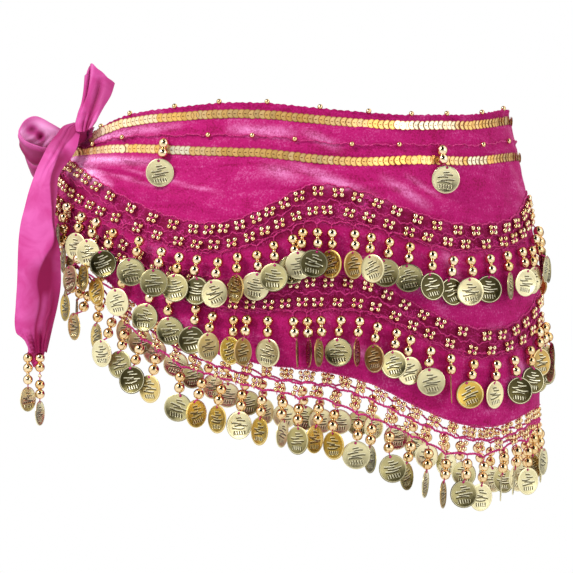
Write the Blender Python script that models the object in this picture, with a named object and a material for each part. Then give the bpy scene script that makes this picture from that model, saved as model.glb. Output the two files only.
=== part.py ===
"""A belly dance hip scarf in its worn form, tied over one hip.

Metres, +Z up. The front faces -Y and the knot is on the -X side. The origin is the middle of the waist
opening, level with the scarf's top edge. The cloth wraps an elliptical hip form that is left out.
"""

import math

import bmesh
import bpy
import numpy as np
from mathutils import Vector

MM = 0.001

# ---------------------------------------------------------------- driving dimensions, in millimetres
DEPTH_SHARE = 0.69  # the form's depth as a share of its width
CENTRE_ANGLE = 86.0  # degrees from the front to the middle of the scarf, over the hip away from the knot
HALF_SPAN = 175.0  # degrees from the middle of the scarf to each end, which leaves a slit under the knot
VELVET = 1.2  # thickness of the pile cloth
SEAM_GAP = 0.5  # gap between pieces that are sewn edge to edge
LAY_GAP = 0.6  # gap under what lies on the round panel, so that straight facets stay clear
PITCH_COUNT = 72  # bead clusters along each row
DROPS_PER_TIER = 36  # coin drops modelled along each tier, about two in three of the real row
ROW_LENGTH = 880.0  # about how long each row is along the cloth

TAPE_HEIGHT, TAPE_THICK = 5.8, 0.8
CHAIN_HEIGHT, CHAIN_THICK = 2.4, 1.5
BEAD_SIDE = 6.4  # square with the area of a 7.2 mm round bead
COIN_WIDTH, COIN_THICK = 17.4, 1.0
NET_THICK = 1.5
NET_RAIL = 1.6
NET_UPPER, NET_LOWER = 9.0, 10.5  # heights of the two open rows of the hem net
SATIN = 1.6  # thickness of the doubled satin of the ties

# Half width of the hip form at each height.
FORM = (
    # height, half width
    (40, 141.0),
    (0, 150.0),
    (-30, 157.0),
    (-60, 163.0),
    (-100, 169.5),
    (-130, 171.5),
    (-200, 172.0),
    (-250, 170.5),
    (-300, 168.0),
)

# Heights of the lines that cross the panel, the same on both sides of the scarf's middle.
LINES = (
    # degrees from the middle, top edge, lower sequin tape, first drops, second drops, hem
    (0, 3.0, -30.0, -76.0, -148.0, -204.0),
    (10, 2.9, -30.2, -84.0, -153.5, -204.5),
    (22, 0.0, -31.8, -93.0, -163.5, -210.0),
    (34, -3.0, -34.7, -96.5, -168.0, -215.5),
    (46, -4.0, -35.3, -97.0, -166.0, -213.0),
    (58, -4.8, -35.6, -91.5, -155.0, -201.0),
    (70, -3.2, -37.2, -82.5, -141.0, -184.5),
    (82, -0.6, -35.3, -80.0, -139.5, -176.0),
    (94, 2.5, -31.5, -93.0, -138.5, -172.0),
    (106, 3.0, -30.2, -98.0, -135.0, -162.5),
    (118, 0.8, -28.5, -93.0, -123.0, -145.0),
    (130, -1.5, -26.9, -83.5, -107.0, -125.0),
    (142, -6.3, -26.8, -73.0, -91.0, -107.0),
    (154, -15.0, -28.3, -65.0, -77.0, -94.0),
    (166, -20.5, -29.5, -54.0, -68.0, -83.0),
    (178, -25.0, -31.0, -46.0, -60.0, -73.0),
)
TOP, TAPE, DROPS_1, DROPS_2, HEM = 1, 2, 3, 4, 5
UPPER_TAPE_SHARE = 0.23  # where the upper sequin tape runs between the top edge and the lower tape

# Soft folds of the panel, pulled towards the knot and slanting over the front of the hip.
FOLDS = (
    # degrees from the middle and height at each end, half width, rise
    (166, -34, 100, -70, 5.0, 2.2),
    (164, -31, 118, -36, 4.0, 1.6),
    (164, -40, 128, -62, 5.0, 1.8),
    (80, -10, 52, -42, 7.0, 2.0),
    (80, -44, 46, -72, 8.0, 2.4),
    (40, -50, 20, -66, 8.0, 1.6),
    (104, -140, 76, -160, 9.0, 1.8),
    (58, -170, 40, -196, 9.0, 1.8),
)

PANEL_COLUMNS, PANEL_ROWS = 72, 9
SPARE_ROWS, SPARE_STEP = 5, 13.0  # rows of the same grid below the hem, which the net and drops follow
UPPER_TAPE_FROM, LOWER_TAPE_FROM, TAPES_TO = 5, 3, 70  # columns of the panel at the tapes' ends
CHARMS = (48.5, 120.5)  # degrees from the middle to the single coins on the lower tape, on both sides

# One coin drop, from its chain down: distance below the chain's middle, half width, half thickness,
# and how far its axis stands out from the velvet.
DROP = (
    (5.5, BEAD_SIDE / 2, BEAD_SIDE / 2, 4.3),
    (9.0, 0.8, 0.8, 4.3),
    (12.5, BEAD_SIDE / 2, BEAD_SIDE / 2, 4.3),
    (16.2, 0.8, 0.5, 4.3),
    (21.4, COIN_WIDTH / 2, COIN_THICK / 2, 4.3),
    (31.0, COIN_WIDTH / 2, COIN_THICK / 2, 4.3),
    (35.6, 3.4, COIN_THICK / 2, 4.3),
)
HEM_DROPS_OUT = -3.8  # the hem's drops hang in line with the net, this much nearer than the others
CROWDED_FROM = 92.0  # degrees from the middle past which the upper drops reach over the middle tier
CROWDED_OUT = 2.4  # and how much further out they hang there

# The knot sits outside the panel, in front of the slit.
KNOT_ANGLE, KNOT_HEIGHT, KNOT_OUT = -71.0, -16.0, 9.9
KNOT_HALF = (13.5, 9.8, 11.0)  # half sizes along the waist, outwards and upwards
STRAP_THICK = 2.2

# The standing end, from its slanting cut edge down to the knot.
STANDING_END = (
    # x, y, z of the middle, then from the middle to the right-hand edge
    (-136.0, -39.0, 27.2, 9.9, 0.0, -6.4),
    (-138.9, -39.4, 16.8, 9.4, 0.0, -3.8),
    (-141.6, -40.0, 9.0, 8.6, 0.0, -2.4),
    (-143.9, -40.6, 1.8, 7.7, 0.0, -1.8),
    (-145.4, -41.2, -6.3, 6.6, 0.0, -1.6),
)
PLEAT = 1.9  # depth of the three pleats that the knot squeezes into the standing end

# The long tail, from the top of the knot over its front and down to the gathered tip.
LONG_TAIL = (
    # x, y, z of the middle, then from the middle to the right-hand edge
    (-153.8, -50.0, -6.5, 3.2, 0.4, 2.4),
    (-157.6, -54.6, -15.5, 5.6, 1.0, 3.4),
    (-163.2, -56.6, -26.0, 8.2, 1.6, 3.4),
    (-169.1, -58.4, -35.0, 8.3, 2.0, 2.2),
    (-173.9, -60.0, -46.6, 7.2, 1.8, 1.4),
    (-177.9, -61.0, -60.0, 7.6, 1.8, 0.8),
    (-180.1, -61.5, -73.5, 9.0, 2.0, 0.4),
    (-180.4, -62.0, -99.3, 11.0, 2.5, 0.0),
    (-178.3, -62.0, -123.4, 14.8, 3.2, 0.0),
    (-179.7, -62.0, -144.0, 13.4, 3.0, 0.0),
    (-179.7, -62.0, -155.6, 10.6, 2.0, 0.0),
    (-180.0, -62.0, -163.6, 7.6, 0.0, 0.0),
)
TAIL_FOLD = 3.2  # depth of the lengthwise fold in the tail
TAIL_DROPS = (
    # x, distance below the head of each bead, of the coin's middle, and the coin's half width
    (-186.0, (3.6, 11.2, 19.0), 32.8, 5.2),
    (-176.4, (3.6, 10.4, 22.0, 28.4), 41.7, 3.0),
)

# The bow's loop: its front edge, and its rear edge that droops and closes it off behind.
LOOP = (
    # front x, front z, rear x, rear z, half depth
    (-164.7, -12.5, -164.7, -16.0, 3.5),
    (-173.6, -4.6, -175.0, -19.0, 9.5),
    (-182.6, -2.7, -184.0, -21.0, 13.0),
    (-189.5, -6.5, -190.5, -22.5, 14.0),
    (-192.3, -13.4, -193.2, -26.0, 14.0),
    (-190.2, -19.8, -191.4, -33.0, 14.0),
    (-182.6, -24.2, -183.7, -42.0, 13.0),
    (-173.6, -24.8, -174.6, -35.0, 9.5),
    (-164.7, -21.5, -164.7, -24.5, 3.5),
)
LOOP_MIDDLE_Y = -37.0

FINISHES = {
    # base colour, roughness, metallic
    "velvet": ((0.62, 0.02, 0.27), 0.75, 0.0),
    "satin": ((0.68, 0.04, 0.33), 0.5, 0.0),
    "sequins": ((0.85, 0.60, 0.16), 0.25, 1.0),
    "gold": ((0.83, 0.66, 0.30), 0.3, 1.0),
    "thread": ((0.60, 0.02, 0.25), 0.8, 0.0),
}


# ---------------------------------------------------------------- curves through the tables
def smooth(rows, column, x):
    """Value of a table's column at x in its first column, on a smooth curve through the rows."""
    steps = [row[0] for row in rows]
    values = [row[column] for row in rows]
    if steps[0] > steps[-1]:
        steps.reverse()
        values.reverse()
    x = min(max(x, steps[0]), steps[-1])
    i = max(k for k in range(len(steps) - 1) if steps[k] <= x)
    before, after = max(i - 1, 0), min(i + 2, len(steps) - 1)
    width = steps[i + 1] - steps[i]
    t = (x - steps[i]) / width
    slope_a = (values[i + 1] - values[before]) / (steps[i + 1] - steps[before]) * width
    slope_b = (values[after] - values[i]) / (steps[after] - steps[i]) * width
    return (
        (2 * t**3 - 3 * t**2 + 1) * values[i]
        + (t**3 - 2 * t**2 + t) * slope_a
        + (3 * t**2 - 2 * t**3) * values[i + 1]
        + (t**3 - t**2) * slope_b
    )


def from_middle(angle):
    """Degrees round the form between this angle and the scarf's middle."""
    return abs(angle - CENTRE_ANGLE)


def line(column, angle):
    """Height of one of the panel's lines at an angle."""
    return smooth(LINES, column, from_middle(angle))


def upper_tape(angle):
    """Height of the upper sequin tape, a fixed share of the way down to the lower one."""
    top = line(TOP, angle)
    return top + UPPER_TAPE_SHARE * (line(TAPE, angle) - top)


# ---------------------------------------------------------------- the hip form
def form_point(angle, height, out):
    """Point of the form's ellipse at an angle from the front, moved out along its normal."""
    across = smooth(FORM, 1, height)
    deep = across * DEPTH_SHARE
    turn = math.radians(angle)
    point = Vector((across * math.sin(turn), -deep * math.cos(turn), height))
    return point + outward(angle) * out


def outward(angle):
    """Level unit normal of the form at an angle."""
    turn = math.radians(angle)
    return Vector((math.sin(turn) * DEPTH_SHARE, -math.cos(turn), 0)).normalized()


def onward(angle):
    """Level unit tangent of the form, towards larger angles."""
    normal = outward(angle)
    return Vector((-normal.y, normal.x, 0))


def fold_rise(angle, height):
    """How far the panel's soft folds lift it: a rounded ridge along each fold's line, fading at its ends."""
    here = np.array((from_middle(angle) * 2.4, height))  # 2.4 mm of cloth to a degree
    rise = 0.0
    for start_at, start_z, end_at, end_z, half_width, lift in FOLDS:
        start = np.array((start_at * 2.4, start_z))
        run = np.array((end_at * 2.4, end_z)) - start
        along = float(np.clip((here - start) @ run / (run @ run), 0, 1))
        away = float(np.linalg.norm(here - start - run * along))
        rise += lift * math.exp(-((away / half_width) ** 2)) * (0.35 + 0.65 * math.sin(math.pi * along))
    return rise


def angles_at(shares):
    """Angles of the places at these shares of the scarf's length, from its front end to its rear end."""
    fine = np.linspace(CENTRE_ANGLE - HALF_SPAN, CENTRE_ANGLE + HALF_SPAN, 1441)
    turns = np.radians(fine)
    steps = np.hypot(np.cos(turns), DEPTH_SHARE * np.sin(turns))
    length = np.concatenate(([0.0], np.cumsum((steps[1:] + steps[:-1]) / 2)))
    return [float(a) for a in np.interp(np.asarray(shares) * length[-1], length, fine)]


def column_heights(angle):
    """Heights of the panel's rows at an angle, then those of the spare rows below its hem."""
    top, hem = line(TOP, angle), line(HEM, angle)
    rows = [top + (hem - top) * row / PANEL_ROWS for row in range(PANEL_ROWS + 1)]
    return np.array(rows + [hem - SPARE_STEP * (row + 1) for row in range(SPARE_ROWS)])


def cloth_point(angle, height, out):
    """Point of the folded cloth's flat facets, moved out, so that what is sewn on follows them."""
    column = float(np.interp(angle, GRID_ANGLES, range(PANEL_COLUMNS + 1)))
    left = min(int(column), PANEL_COLUMNS - 1)
    sides = ((left, 1 - column + left), (left + 1, column - left))
    heights = sum(GRID_HEIGHTS[c] * share for c, share in sides)
    row = float(np.interp(-height, -heights, range(len(heights))))
    upper = min(int(row), len(heights) - 2)
    point = Vector((0, 0, 0))
    for c, across in sides:
        for r, down in ((upper, 1 - row + upper), (upper + 1, row - upper)):
            point += (GRID[r][c] + outward(GRID_ANGLES[c]) * out) * (across * down)
    return point


def lap_point(angle, height, out):
    """Point over the cloth near the knot, or over the slit between the cloth's two ends."""
    if angle >= GRID_ANGLES[0]:
        return cloth_point(angle, height, out)
    if angle + 360 <= GRID_ANGLES[-1]:
        return cloth_point(angle + 360, height, out)
    return form_point(angle, height, out + fold_rise(GRID_ANGLES[0], height))


# ---------------------------------------------------------------- closed solids from grids of points
def new_finish(name):
    """Material with the colour, roughness and metallic value from FINISHES."""
    colour, roughness, metallic = FINISHES[name]
    material = bpy.data.materials.new(name)
    material.use_nodes = True
    shader = material.node_tree.nodes["Principled BSDF"]
    shader.inputs["Base Color"].default_value = (*colour, 1)
    shader.inputs["Roughness"].default_value = roughness
    shader.inputs["Metallic"].default_value = metallic
    return material


def place(name, bm, finish):
    """Puts a finished bmesh, built in millimetres, into the scene as one node."""
    bmesh.ops.scale(bm, vec=(MM, MM, MM), verts=bm.verts)
    bmesh.ops.recalc_face_normals(bm, faces=bm.faces)
    mesh = bpy.data.meshes.new(name)
    bm.to_mesh(mesh)
    bm.free()
    mesh.materials.append(MATERIALS[finish])
    mesh.shade_smooth()
    mesh.set_sharp_from_angle(angle=math.radians(40))
    obj = bpy.data.objects.new(name, mesh)
    bpy.context.scene.collection.objects.link(obj)
    return obj


def grid_solid(outer, inner, kept=None, left_open=()):
    """Closed wall between two grids of points; cells not kept are cut through.

    left_open holds columns whose bottom face is left out, for a drop to grow from. Returns the bmesh and
    the rings of four corners round those openings.
    """
    bm = bmesh.new()
    outside = [[bm.verts.new(p) for p in row] for row in outer]
    inside = [[bm.verts.new(p) for p in row] for row in inner]
    rows, columns = len(outer) - 1, len(outer[0]) - 1
    if kept is None:
        kept = [[True] * columns for _ in range(rows)]

    def is_kept(row, column):
        return 0 <= row < rows and 0 <= column < columns and kept[row][column]

    rings = []
    for row in range(rows):
        for column in range(columns):
            if not kept[row][column]:
                continue
            corners = ((row, column), (row + 1, column), (row + 1, column + 1), (row, column + 1))
            bm.faces.new([outside[r][c] for r, c in corners])
            bm.faces.new([inside[r][c] for r, c in reversed(corners)])
            beside = ((row, column - 1), (row + 1, column), (row, column + 1), (row - 1, column))
            for side, (next_row, next_column) in enumerate(beside):
                if is_kept(next_row, next_column):
                    continue
                (ar, ac), (br, bc) = corners[side], corners[(side + 1) % 4]
                ring = [outside[br][bc], outside[ar][ac], inside[ar][ac], inside[br][bc]]
                if next_row == rows and column in left_open:
                    rings.append(ring)
                else:
                    bm.faces.new(ring)
    for vert in [v for v in bm.verts if not v.link_faces]:
        bm.verts.remove(vert)
    return bm, rings


def tube(bm, ring, sections):
    """Grows a four-sided strand from a ring of corners through the sections' corners, and caps its end."""
    for corners in sections:
        following = [bm.verts.new(p) for p in corners]
        for k in range(4):
            bm.faces.new((ring[k], ring[(k + 1) % 4], following[(k + 1) % 4], following[k]))
        ring = following
    bm.faces.new(ring)


def corners_of(centre, across, facing, half_width, half_thick):
    """The four corners of a strand's section, in the order that grid_solid gives a ring."""
    wide, thick = across * half_width, facing * half_thick
    return [centre + wide + thick, centre - wide + thick, centre - wide - thick, centre + wide - thick]


# ---------------------------------------------------------------- the cloth and what is sewn on it
def velvet_panel():
    """The one piece of velvet, from the knot round the hips and back to the slit."""

    def face(out):
        return [
            [GRID[row][c] + outward(angle) * out for c, angle in enumerate(GRID_ANGLES)]
            for row in range(PANEL_ROWS + 1)
        ]

    bm, _ = grid_solid(face(0.0), face(-VELVET))
    place("velvet_panel", bm, "velvet")


def sequin_tape(name, height_at, first):
    """A flat tape that follows the panel a little way out."""
    angles = GRID_ANGLES[first : TAPES_TO + 1]

    def face(out):
        return [
            [cloth_point(a, height_at(a) + side * TAPE_HEIGHT / 2, out) for a in angles]
            for side in (1, -1)
        ]

    bm, _ = grid_solid(face(LAY_GAP + TAPE_THICK), face(LAY_GAP))
    place(name, bm, "sequins")


def drop_sections(angle, height, further_out):
    """Section corners of one coin drop that hangs from a chain at this place."""
    return [
        corners_of(
            cloth_point(angle, height - below, out + further_out), onward(angle), outward(angle), half, thick
        )
        for below, half, thick, out in DROP
    ]


def drop_tier(name, height_at, phase, gap, further_out, crowded_out=0.0):
    """A crocheted chain with its coin drops fused to its lower side."""
    half_root = 1.0 / ROW_LENGTH
    shares, roots = [0.0], {}
    for k in range(DROPS_PER_TIER):
        share = (k + phase) / DROPS_PER_TIER
        roots[len(shares)] = share
        shares += [share - half_root, share + half_root, share + 0.5 / DROPS_PER_TIER]
    angles = angles_at([s for s in shares if s < 1.0] + [1.0])

    def face(out):
        return [
            [cloth_point(a, height_at(a) + side * CHAIN_HEIGHT / 2, out) for a in angles]
            for side in (1, -1)
        ]

    bm, rings = grid_solid(face(gap + CHAIN_THICK), face(gap), left_open=set(roots))
    for ring, share in zip(rings, roots.values()):
        angle = angles_at([share])[0]
        lift = crowded_out if from_middle(angle) > CROWDED_FROM else 0.0
        tube(bm, ring, drop_sections(angle, height_at(angle), further_out + lift))
    place(name, bm, "gold")


def net_drops_height(angle):
    """Height of the hem's chain, just under the net."""
    return line(HEM, angle) - NET_UPPER - NET_LOWER - 2 * SEAM_GAP - CHAIN_HEIGHT / 2


def hem_net(name, start, end):
    """Half of the open net under the hem: bead posts between two chains, half a pitch apart in its rows."""
    columns = PITCH_COUNT
    angles = angles_at(np.linspace(start, end, columns + 1))
    depths = (0.0, NET_UPPER - NET_RAIL, NET_UPPER, NET_UPPER + NET_LOWER - NET_RAIL, NET_UPPER + NET_LOWER)

    def face(out):
        return [[cloth_point(a, line(HEM, a) - SEAM_GAP - d, out) for a in angles] for d in depths]

    even = [c % 2 == 0 for c in range(columns)]
    odd = [not e for e in even]
    solid = [True] * columns
    bm, _ = grid_solid(face(0.3), face(0.3 - NET_THICK), kept=[even, solid, odd, solid])
    place(name, bm, "thread")


def coin_charm(name, angle):
    """Two beads and a coin that hang over the lower sequin tape."""
    over_tape = LAY_GAP + TAPE_THICK + SEAM_GAP + BEAD_SIDE / 2
    height = line(TAPE, angle) + 7.0
    across, facing = onward(angle), outward(angle)
    bm = bmesh.new()
    start = cloth_point(angle, height - 2.3, over_tape)
    ring = [bm.verts.new(p) for p in corners_of(start, across, facing, 0.8, 0.8)]
    bm.faces.new(reversed(ring))
    sections = []
    for below, half, thick, _ in DROP:
        centre = cloth_point(angle, height - below, over_tape)
        sections.append(corners_of(centre, across, facing, half, thick))
    tube(bm, ring, sections)
    place(name, bm, "gold")


# ---------------------------------------------------------------- the ties
def strap(name, start, end, rises, heights):
    """A gathered end of a tie that lies on the panel between two angles."""
    steps = 6
    angles = [start + (end - start) * k / steps for k in range(steps + 1)]

    def face(out):
        rows = []
        for side in (1, 0, -1):
            row = []
            for k, a in enumerate(angles):
                share = k / steps
                middle = rises[0] + (rises[1] - rises[0]) * share
                half = heights[0] + (heights[1] - heights[0]) * share
                row.append(lap_point(a, middle + side * half, out + (0.8 if side == 0 and out > 1 else 0)))
            rows.append(row)
        return rows

    bm, _ = grid_solid(face(LAY_GAP + STRAP_THICK), face(LAY_GAP))
    place(name, bm, "satin")


def knot():
    """A rounded knot with the soft lobes of cloth pulled round itself."""
    bm = bmesh.new()
    bmesh.ops.create_uvsphere(bm, u_segments=16, v_segments=9, radius=1)
    centre = form_point(KNOT_ANGLE, KNOT_HEIGHT, KNOT_OUT)
    along, out = onward(KNOT_ANGLE), outward(KNOT_ANGLE)
    for vert in bm.verts:
        turn = math.atan2(vert.co.y, vert.co.x)
        pinch = 1 - 0.08 * (0.5 + 0.5 * math.cos(4 * turn + 3 * vert.co.z)) * (1 - vert.co.z**2)
        x, y, z = (vert.co[k] * KNOT_HALF[k] * pinch for k in range(3))
        vert.co = centre + along * x + out * y + Vector((0, 0, z))
    place("tie_knot", bm, "satin")


def ribbon(name, rows, columns, fold):
    """A doubled ribbon across a table of rows, with its lengthwise folds given by a function."""
    spread = np.linspace(-1, 1, columns + 1)

    def face(side):
        return [
            [
                Vector((x + reach_x * v, y + reach_y * v - fold(v, k) - side * SATIN / 2, z + reach_z * v))
                for v in (float(value) for value in spread)
            ]
            for k, (x, y, z, reach_x, reach_y, reach_z) in enumerate(rows)
        ]

    bm, _ = grid_solid(face(1), face(-1))
    place(name, bm, "satin")


def standing_end():
    """The short end that stands above the knot, pleated where it leaves it."""
    depths = (0.45, 0.6, 0.8, 0.95, 1.0)
    ribbon("tie_standing_end", STANDING_END, 10, lambda v, k: PLEAT * depths[k] * math.cos(3 * math.pi * v))


def long_tail():
    """The long end that falls from the knot, folded once along its length and gathered at its tip."""

    def fold(v, k):
        return TAIL_FOLD * math.exp(-(((v + 0.1) / 0.45) ** 2)) * (0.3 if k < 2 else 1.0) - 0.8 * v * v

    ribbon("tie_long_tail", LONG_TAIL, 8, fold)


def bow_loop():
    """The single loop of the bow: a ribbon that leaves the knot, turns back and droops at the rear."""
    finer = 2
    rows = [(k, *row) for k, row in enumerate(LOOP)]
    count = finer * (len(LOOP) - 1)

    def at(step, side):
        t = step / finer
        fx, fz, rx, rz, half = (smooth(rows, c, t) for c in range(1, 6))
        share = (side + 1) / 2
        return Vector((fx + (rx - fx) * share, LOOP_MIDDLE_Y + side * half, fz + (rz - fz) * share))

    outer, inner = [], []
    for side in (-1.0, -0.4, 0.3, 1.0):
        middle = sum((at(step, side) for step in range(count + 1)), Vector((0, 0, 0))) / (count + 1)
        outer_row, inner_row = [], []
        for step in range(count + 1):
            point = at(step, side)
            run = at(min(step + 1, count), side) - at(max(step - 1, 0), side)
            normal = Vector((run.z, 0, -run.x)).normalized()
            if normal.dot(point - middle) < 0 and 0 < step < count:
                normal.negate()
            if step in (0, count):
                normal = Vector((0, 0, 1 if step == 0 else -1))
            outer_row.append(point + normal * SATIN / 2)
            inner_row.append(point - normal * SATIN / 2)
        outer.append(outer_row)
        inner.append(inner_row)
    bm, _ = grid_solid(outer, inner)
    place("tie_loop", bm, "satin")


def tail_drops():
    """The tail's gathered tip, bound in a flat head, with two strings of beads and a coin each."""
    x, y, z, half_width, _, _ = LONG_TAIL[-1]
    across, facing = Vector((1, 0, 0)), Vector((0, -1, 0))
    head_top = z - SEAM_GAP
    half_root = 0.7
    places = [x - half_width]
    roots = {}
    for k, (drop_x, _, _, _) in enumerate(TAIL_DROPS):
        roots[len(places)] = k
        places += [drop_x - half_root, drop_x + half_root]
    places.append(x + half_width)

    def face(side):
        return [[Vector((p, y - side * 1.4, head_top - d)) for p in places] for d in (0.0, 2.4)]

    bm, rings = grid_solid(face(1), face(-1), left_open=set(roots))
    for ring, k in zip(rings, roots.values()):
        drop_x, beads, coin, coin_half = TAIL_DROPS[k]
        sections = []
        for at in beads:
            sections.append((at, BEAD_SIDE / 2 - 0.4, BEAD_SIDE / 2 - 0.4))
            sections.append((at + 3.4, 0.6, 0.6))
        sections.append((coin - 5.0, coin_half, COIN_THICK / 2))
        sections.append((coin + 5.0, coin_half, COIN_THICK / 2))
        sections.append((coin + 9.3, coin_half * 0.4, COIN_THICK / 2))
        tube(
            bm,
            ring,
            [
                corners_of(Vector((drop_x, y, head_top - 2.4 - d)), across, facing, w, t)
                for d, w, t in sections
            ],
        )
    place("tie_tail_drops", bm, "gold")


# ---------------------------------------------------------------- build
for old in list(bpy.data.objects):
    bpy.data.objects.remove(old)
MATERIALS = {name: new_finish(name) for name in FINISHES}
GRID_ANGLES = angles_at(np.linspace(0, 1, PANEL_COLUMNS + 1))
GRID_HEIGHTS = [column_heights(angle) for angle in GRID_ANGLES]
GRID = [
    [form_point(a, column[row], fold_rise(a, column[row])) for a, column in zip(GRID_ANGLES, GRID_HEIGHTS)]
    for row in range(PANEL_ROWS + SPARE_ROWS + 1)
]

velvet_panel()
sequin_tape("sequin_tape_upper", upper_tape, UPPER_TAPE_FROM)
sequin_tape("sequin_tape_lower", lambda angle: line(TAPE, angle), LOWER_TAPE_FROM)
drop_tier("coin_drops_upper", lambda angle: line(DROPS_1, angle), 0.25, LAY_GAP, 0.0, CROWDED_OUT)
drop_tier("coin_drops_middle", lambda angle: line(DROPS_2, angle), 0.75, LAY_GAP, 0.0)
drop_tier("coin_drops_hem", net_drops_height, 0.25, 0.3 - NET_THICK, HEM_DROPS_OUT)
hem_net("hem_net_front", 0.0, 0.4997)
hem_net("hem_net_back", 0.5003, 1.0)
for number, degrees in enumerate(CHARMS, start=1):
    coin_charm(f"coin_charm_front_{number}", CENTRE_ANGLE - degrees)
    coin_charm(f"coin_charm_back_{number}", CENTRE_ANGLE + degrees)
strap("tie_strap_front", -65.3, -60.9, (-17.5, -16.0), (7.0, 3.5))
strap("tie_strap_back", -102.0, -78.9, (-27.5, -23.0), (4.0, 7.0))
knot()
standing_end()
long_tail()
bow_loop()
tail_drops()
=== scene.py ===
# %% [markdown]
# # A belly dance hip scarf, tied over one hip
#
# The scarf is one long piece of stretch velvet. Two lines of gold sequins run under its top edge, three
# wavy tiers of coins hang from crocheted chains, and its hem carries an open net of beads. Its two satin
# ties meet in a bow over the left hip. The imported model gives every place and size, so each piece below is
# drawn in the same millimetres as the model, as a surface over two numbers: an angle round the hips and a
# height.

import functools
import math

import bmesh
import bpy
import mathutils
import numpy as np
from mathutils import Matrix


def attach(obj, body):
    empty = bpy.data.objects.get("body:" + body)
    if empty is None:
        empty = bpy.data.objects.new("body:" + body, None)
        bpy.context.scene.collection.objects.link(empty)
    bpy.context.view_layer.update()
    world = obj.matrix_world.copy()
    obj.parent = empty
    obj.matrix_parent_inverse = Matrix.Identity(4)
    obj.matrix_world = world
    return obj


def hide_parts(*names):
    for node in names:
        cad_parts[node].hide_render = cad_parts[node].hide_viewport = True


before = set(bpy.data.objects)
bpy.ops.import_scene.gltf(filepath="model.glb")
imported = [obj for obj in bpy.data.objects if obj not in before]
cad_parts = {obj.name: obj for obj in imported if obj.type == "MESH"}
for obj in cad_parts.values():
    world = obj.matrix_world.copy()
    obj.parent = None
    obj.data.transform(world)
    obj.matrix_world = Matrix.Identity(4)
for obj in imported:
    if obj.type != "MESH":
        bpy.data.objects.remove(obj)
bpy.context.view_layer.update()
print("nodes:", len(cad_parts))

# %% [markdown]
# ## The form under the cloth
#
# On a wearer the scarf lies on the hips. Nobody is modelled here, but the cloth keeps that shape, so a
# smooth oval form is worked out first. A table of widths at a few heights is enough, because a smooth curve
# through the table gives every height between. The same kind of table holds the lines that cross the cloth.

# %% Tables of the form and of the lines on the cloth, in millimetres
MM = 0.001
DEPTH_SHARE = 0.69  # the form's depth as a share of its width
CENTRE_ANGLE = 86.0  # degrees from the front to the scarf's middle
HALF_SPAN = 175.0  # degrees from there to each end
ROW_LENGTH = 880.0  # length of a row along the cloth

FORM = (  # height, half width
    (40, 141.0), (0, 150.0), (-30, 157.0), (-60, 163.0), (-100, 169.5), (-130, 171.5), (-200, 172.0),
    (-250, 170.5), (-300, 168.0),
)
LINES = (  # degrees from the middle, top edge, lower sequin line, upper coins, middle coins, hem
    (0, 3.0, -30.0, -76.0, -148.0, -204.0), (10, 2.9, -30.2, -84.0, -153.5, -204.5),
    (22, 0.0, -31.8, -93.0, -163.5, -210.0), (34, -3.0, -34.7, -96.5, -168.0, -215.5),
    (46, -4.0, -35.3, -97.0, -166.0, -213.0), (58, -4.8, -35.6, -91.5, -155.0, -201.0),
    (70, -3.2, -37.2, -82.5, -141.0, -184.5), (82, -0.6, -35.3, -80.0, -139.5, -176.0),
    (94, 2.5, -31.5, -93.0, -138.5, -172.0), (106, 3.0, -30.2, -98.0, -135.0, -162.5),
    (118, 0.8, -28.5, -93.0, -123.0, -145.0), (130, -1.5, -26.9, -83.5, -107.0, -125.0),
    (142, -6.3, -26.8, -73.0, -91.0, -107.0), (154, -15.0, -28.3, -65.0, -77.0, -94.0),
    (166, -20.5, -29.5, -54.0, -68.0, -83.0), (178, -25.0, -31.0, -46.0, -60.0, -73.0),
)
TOP, TAPE, UPPER, MIDDLE, HEM = 1, 2, 3, 4, 5
UPPER_TAPE_SHARE = 0.23  # place of the upper sequin line between the top edge and the lower line
TUCK_SHARE = 0.66  # and of the puckered tuck between them


def smooth(rows, column, at):
    """Smooth curve through a table: cubics, whose slope at a row is that of the chord of its neighbours."""
    table = np.asarray(rows, float)
    if table[0, 0] > table[-1, 0]:
        table = table[::-1]
    steps, values = table[:, 0], table[:, column]
    at = np.clip(at, steps[0], steps[-1])
    i = np.clip(np.searchsorted(steps, at, side="right") - 1, 0, len(steps) - 2)
    before, after = np.maximum(i - 1, 0), np.minimum(i + 2, len(steps) - 1)
    width = steps[i + 1] - steps[i]
    t = (at - steps[i]) / width
    slope_a = (values[i + 1] - values[before]) / (steps[i + 1] - steps[before]) * width
    slope_b = (values[after] - values[i]) / (steps[after] - steps[i]) * width
    return (
        (2 * t**3 - 3 * t**2 + 1) * values[i]
        + (t**3 - 2 * t**2 + t) * slope_a
        + (3 * t**2 - 2 * t**3) * values[i + 1]
        + (t**3 - t**2) * slope_b
    )


def ramp(low, high, at):
    """Rises from 0 at low to 1 at high along 3t^2 - 2t^3, with no corner at either end."""
    t = np.clip((at - low) / (high - low), 0, 1)
    return t * t * (3 - 2 * t)


def bump(at, middle, half):
    """Rounded hill: e to the minus square of the distance from the middle in half widths."""
    return np.exp(-(((at - middle) / half) ** 2))


def from_middle(angle):
    """Degrees between an angle and the scarf's middle."""
    return np.abs(angle - CENTRE_ANGLE)


def line(column, angle):
    """Height of one of the lines on the cloth at an angle."""
    return smooth(LINES, column, from_middle(angle))


def between_tapes(share, angle):
    """Height at a share of the way from the top edge down to the lower sequin line."""
    top = line(TOP, angle)
    return top + share * (line(TAPE, angle) - top)


_fine = np.linspace(CENTRE_ANGLE - HALF_SPAN, CENTRE_ANGLE + HALF_SPAN, 1441)
_step = np.hypot(np.cos(np.radians(_fine)), DEPTH_SHARE * np.sin(np.radians(_fine)))
_length = np.concatenate(([0.0], np.cumsum((_step[1:] + _step[:-1]) / 2)))


def angle_at(share):
    """Angle at a share of the scarf's length, measured along the oval from its front end to its rear end."""
    return np.interp(share * _length[-1], _length, _fine)


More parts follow.
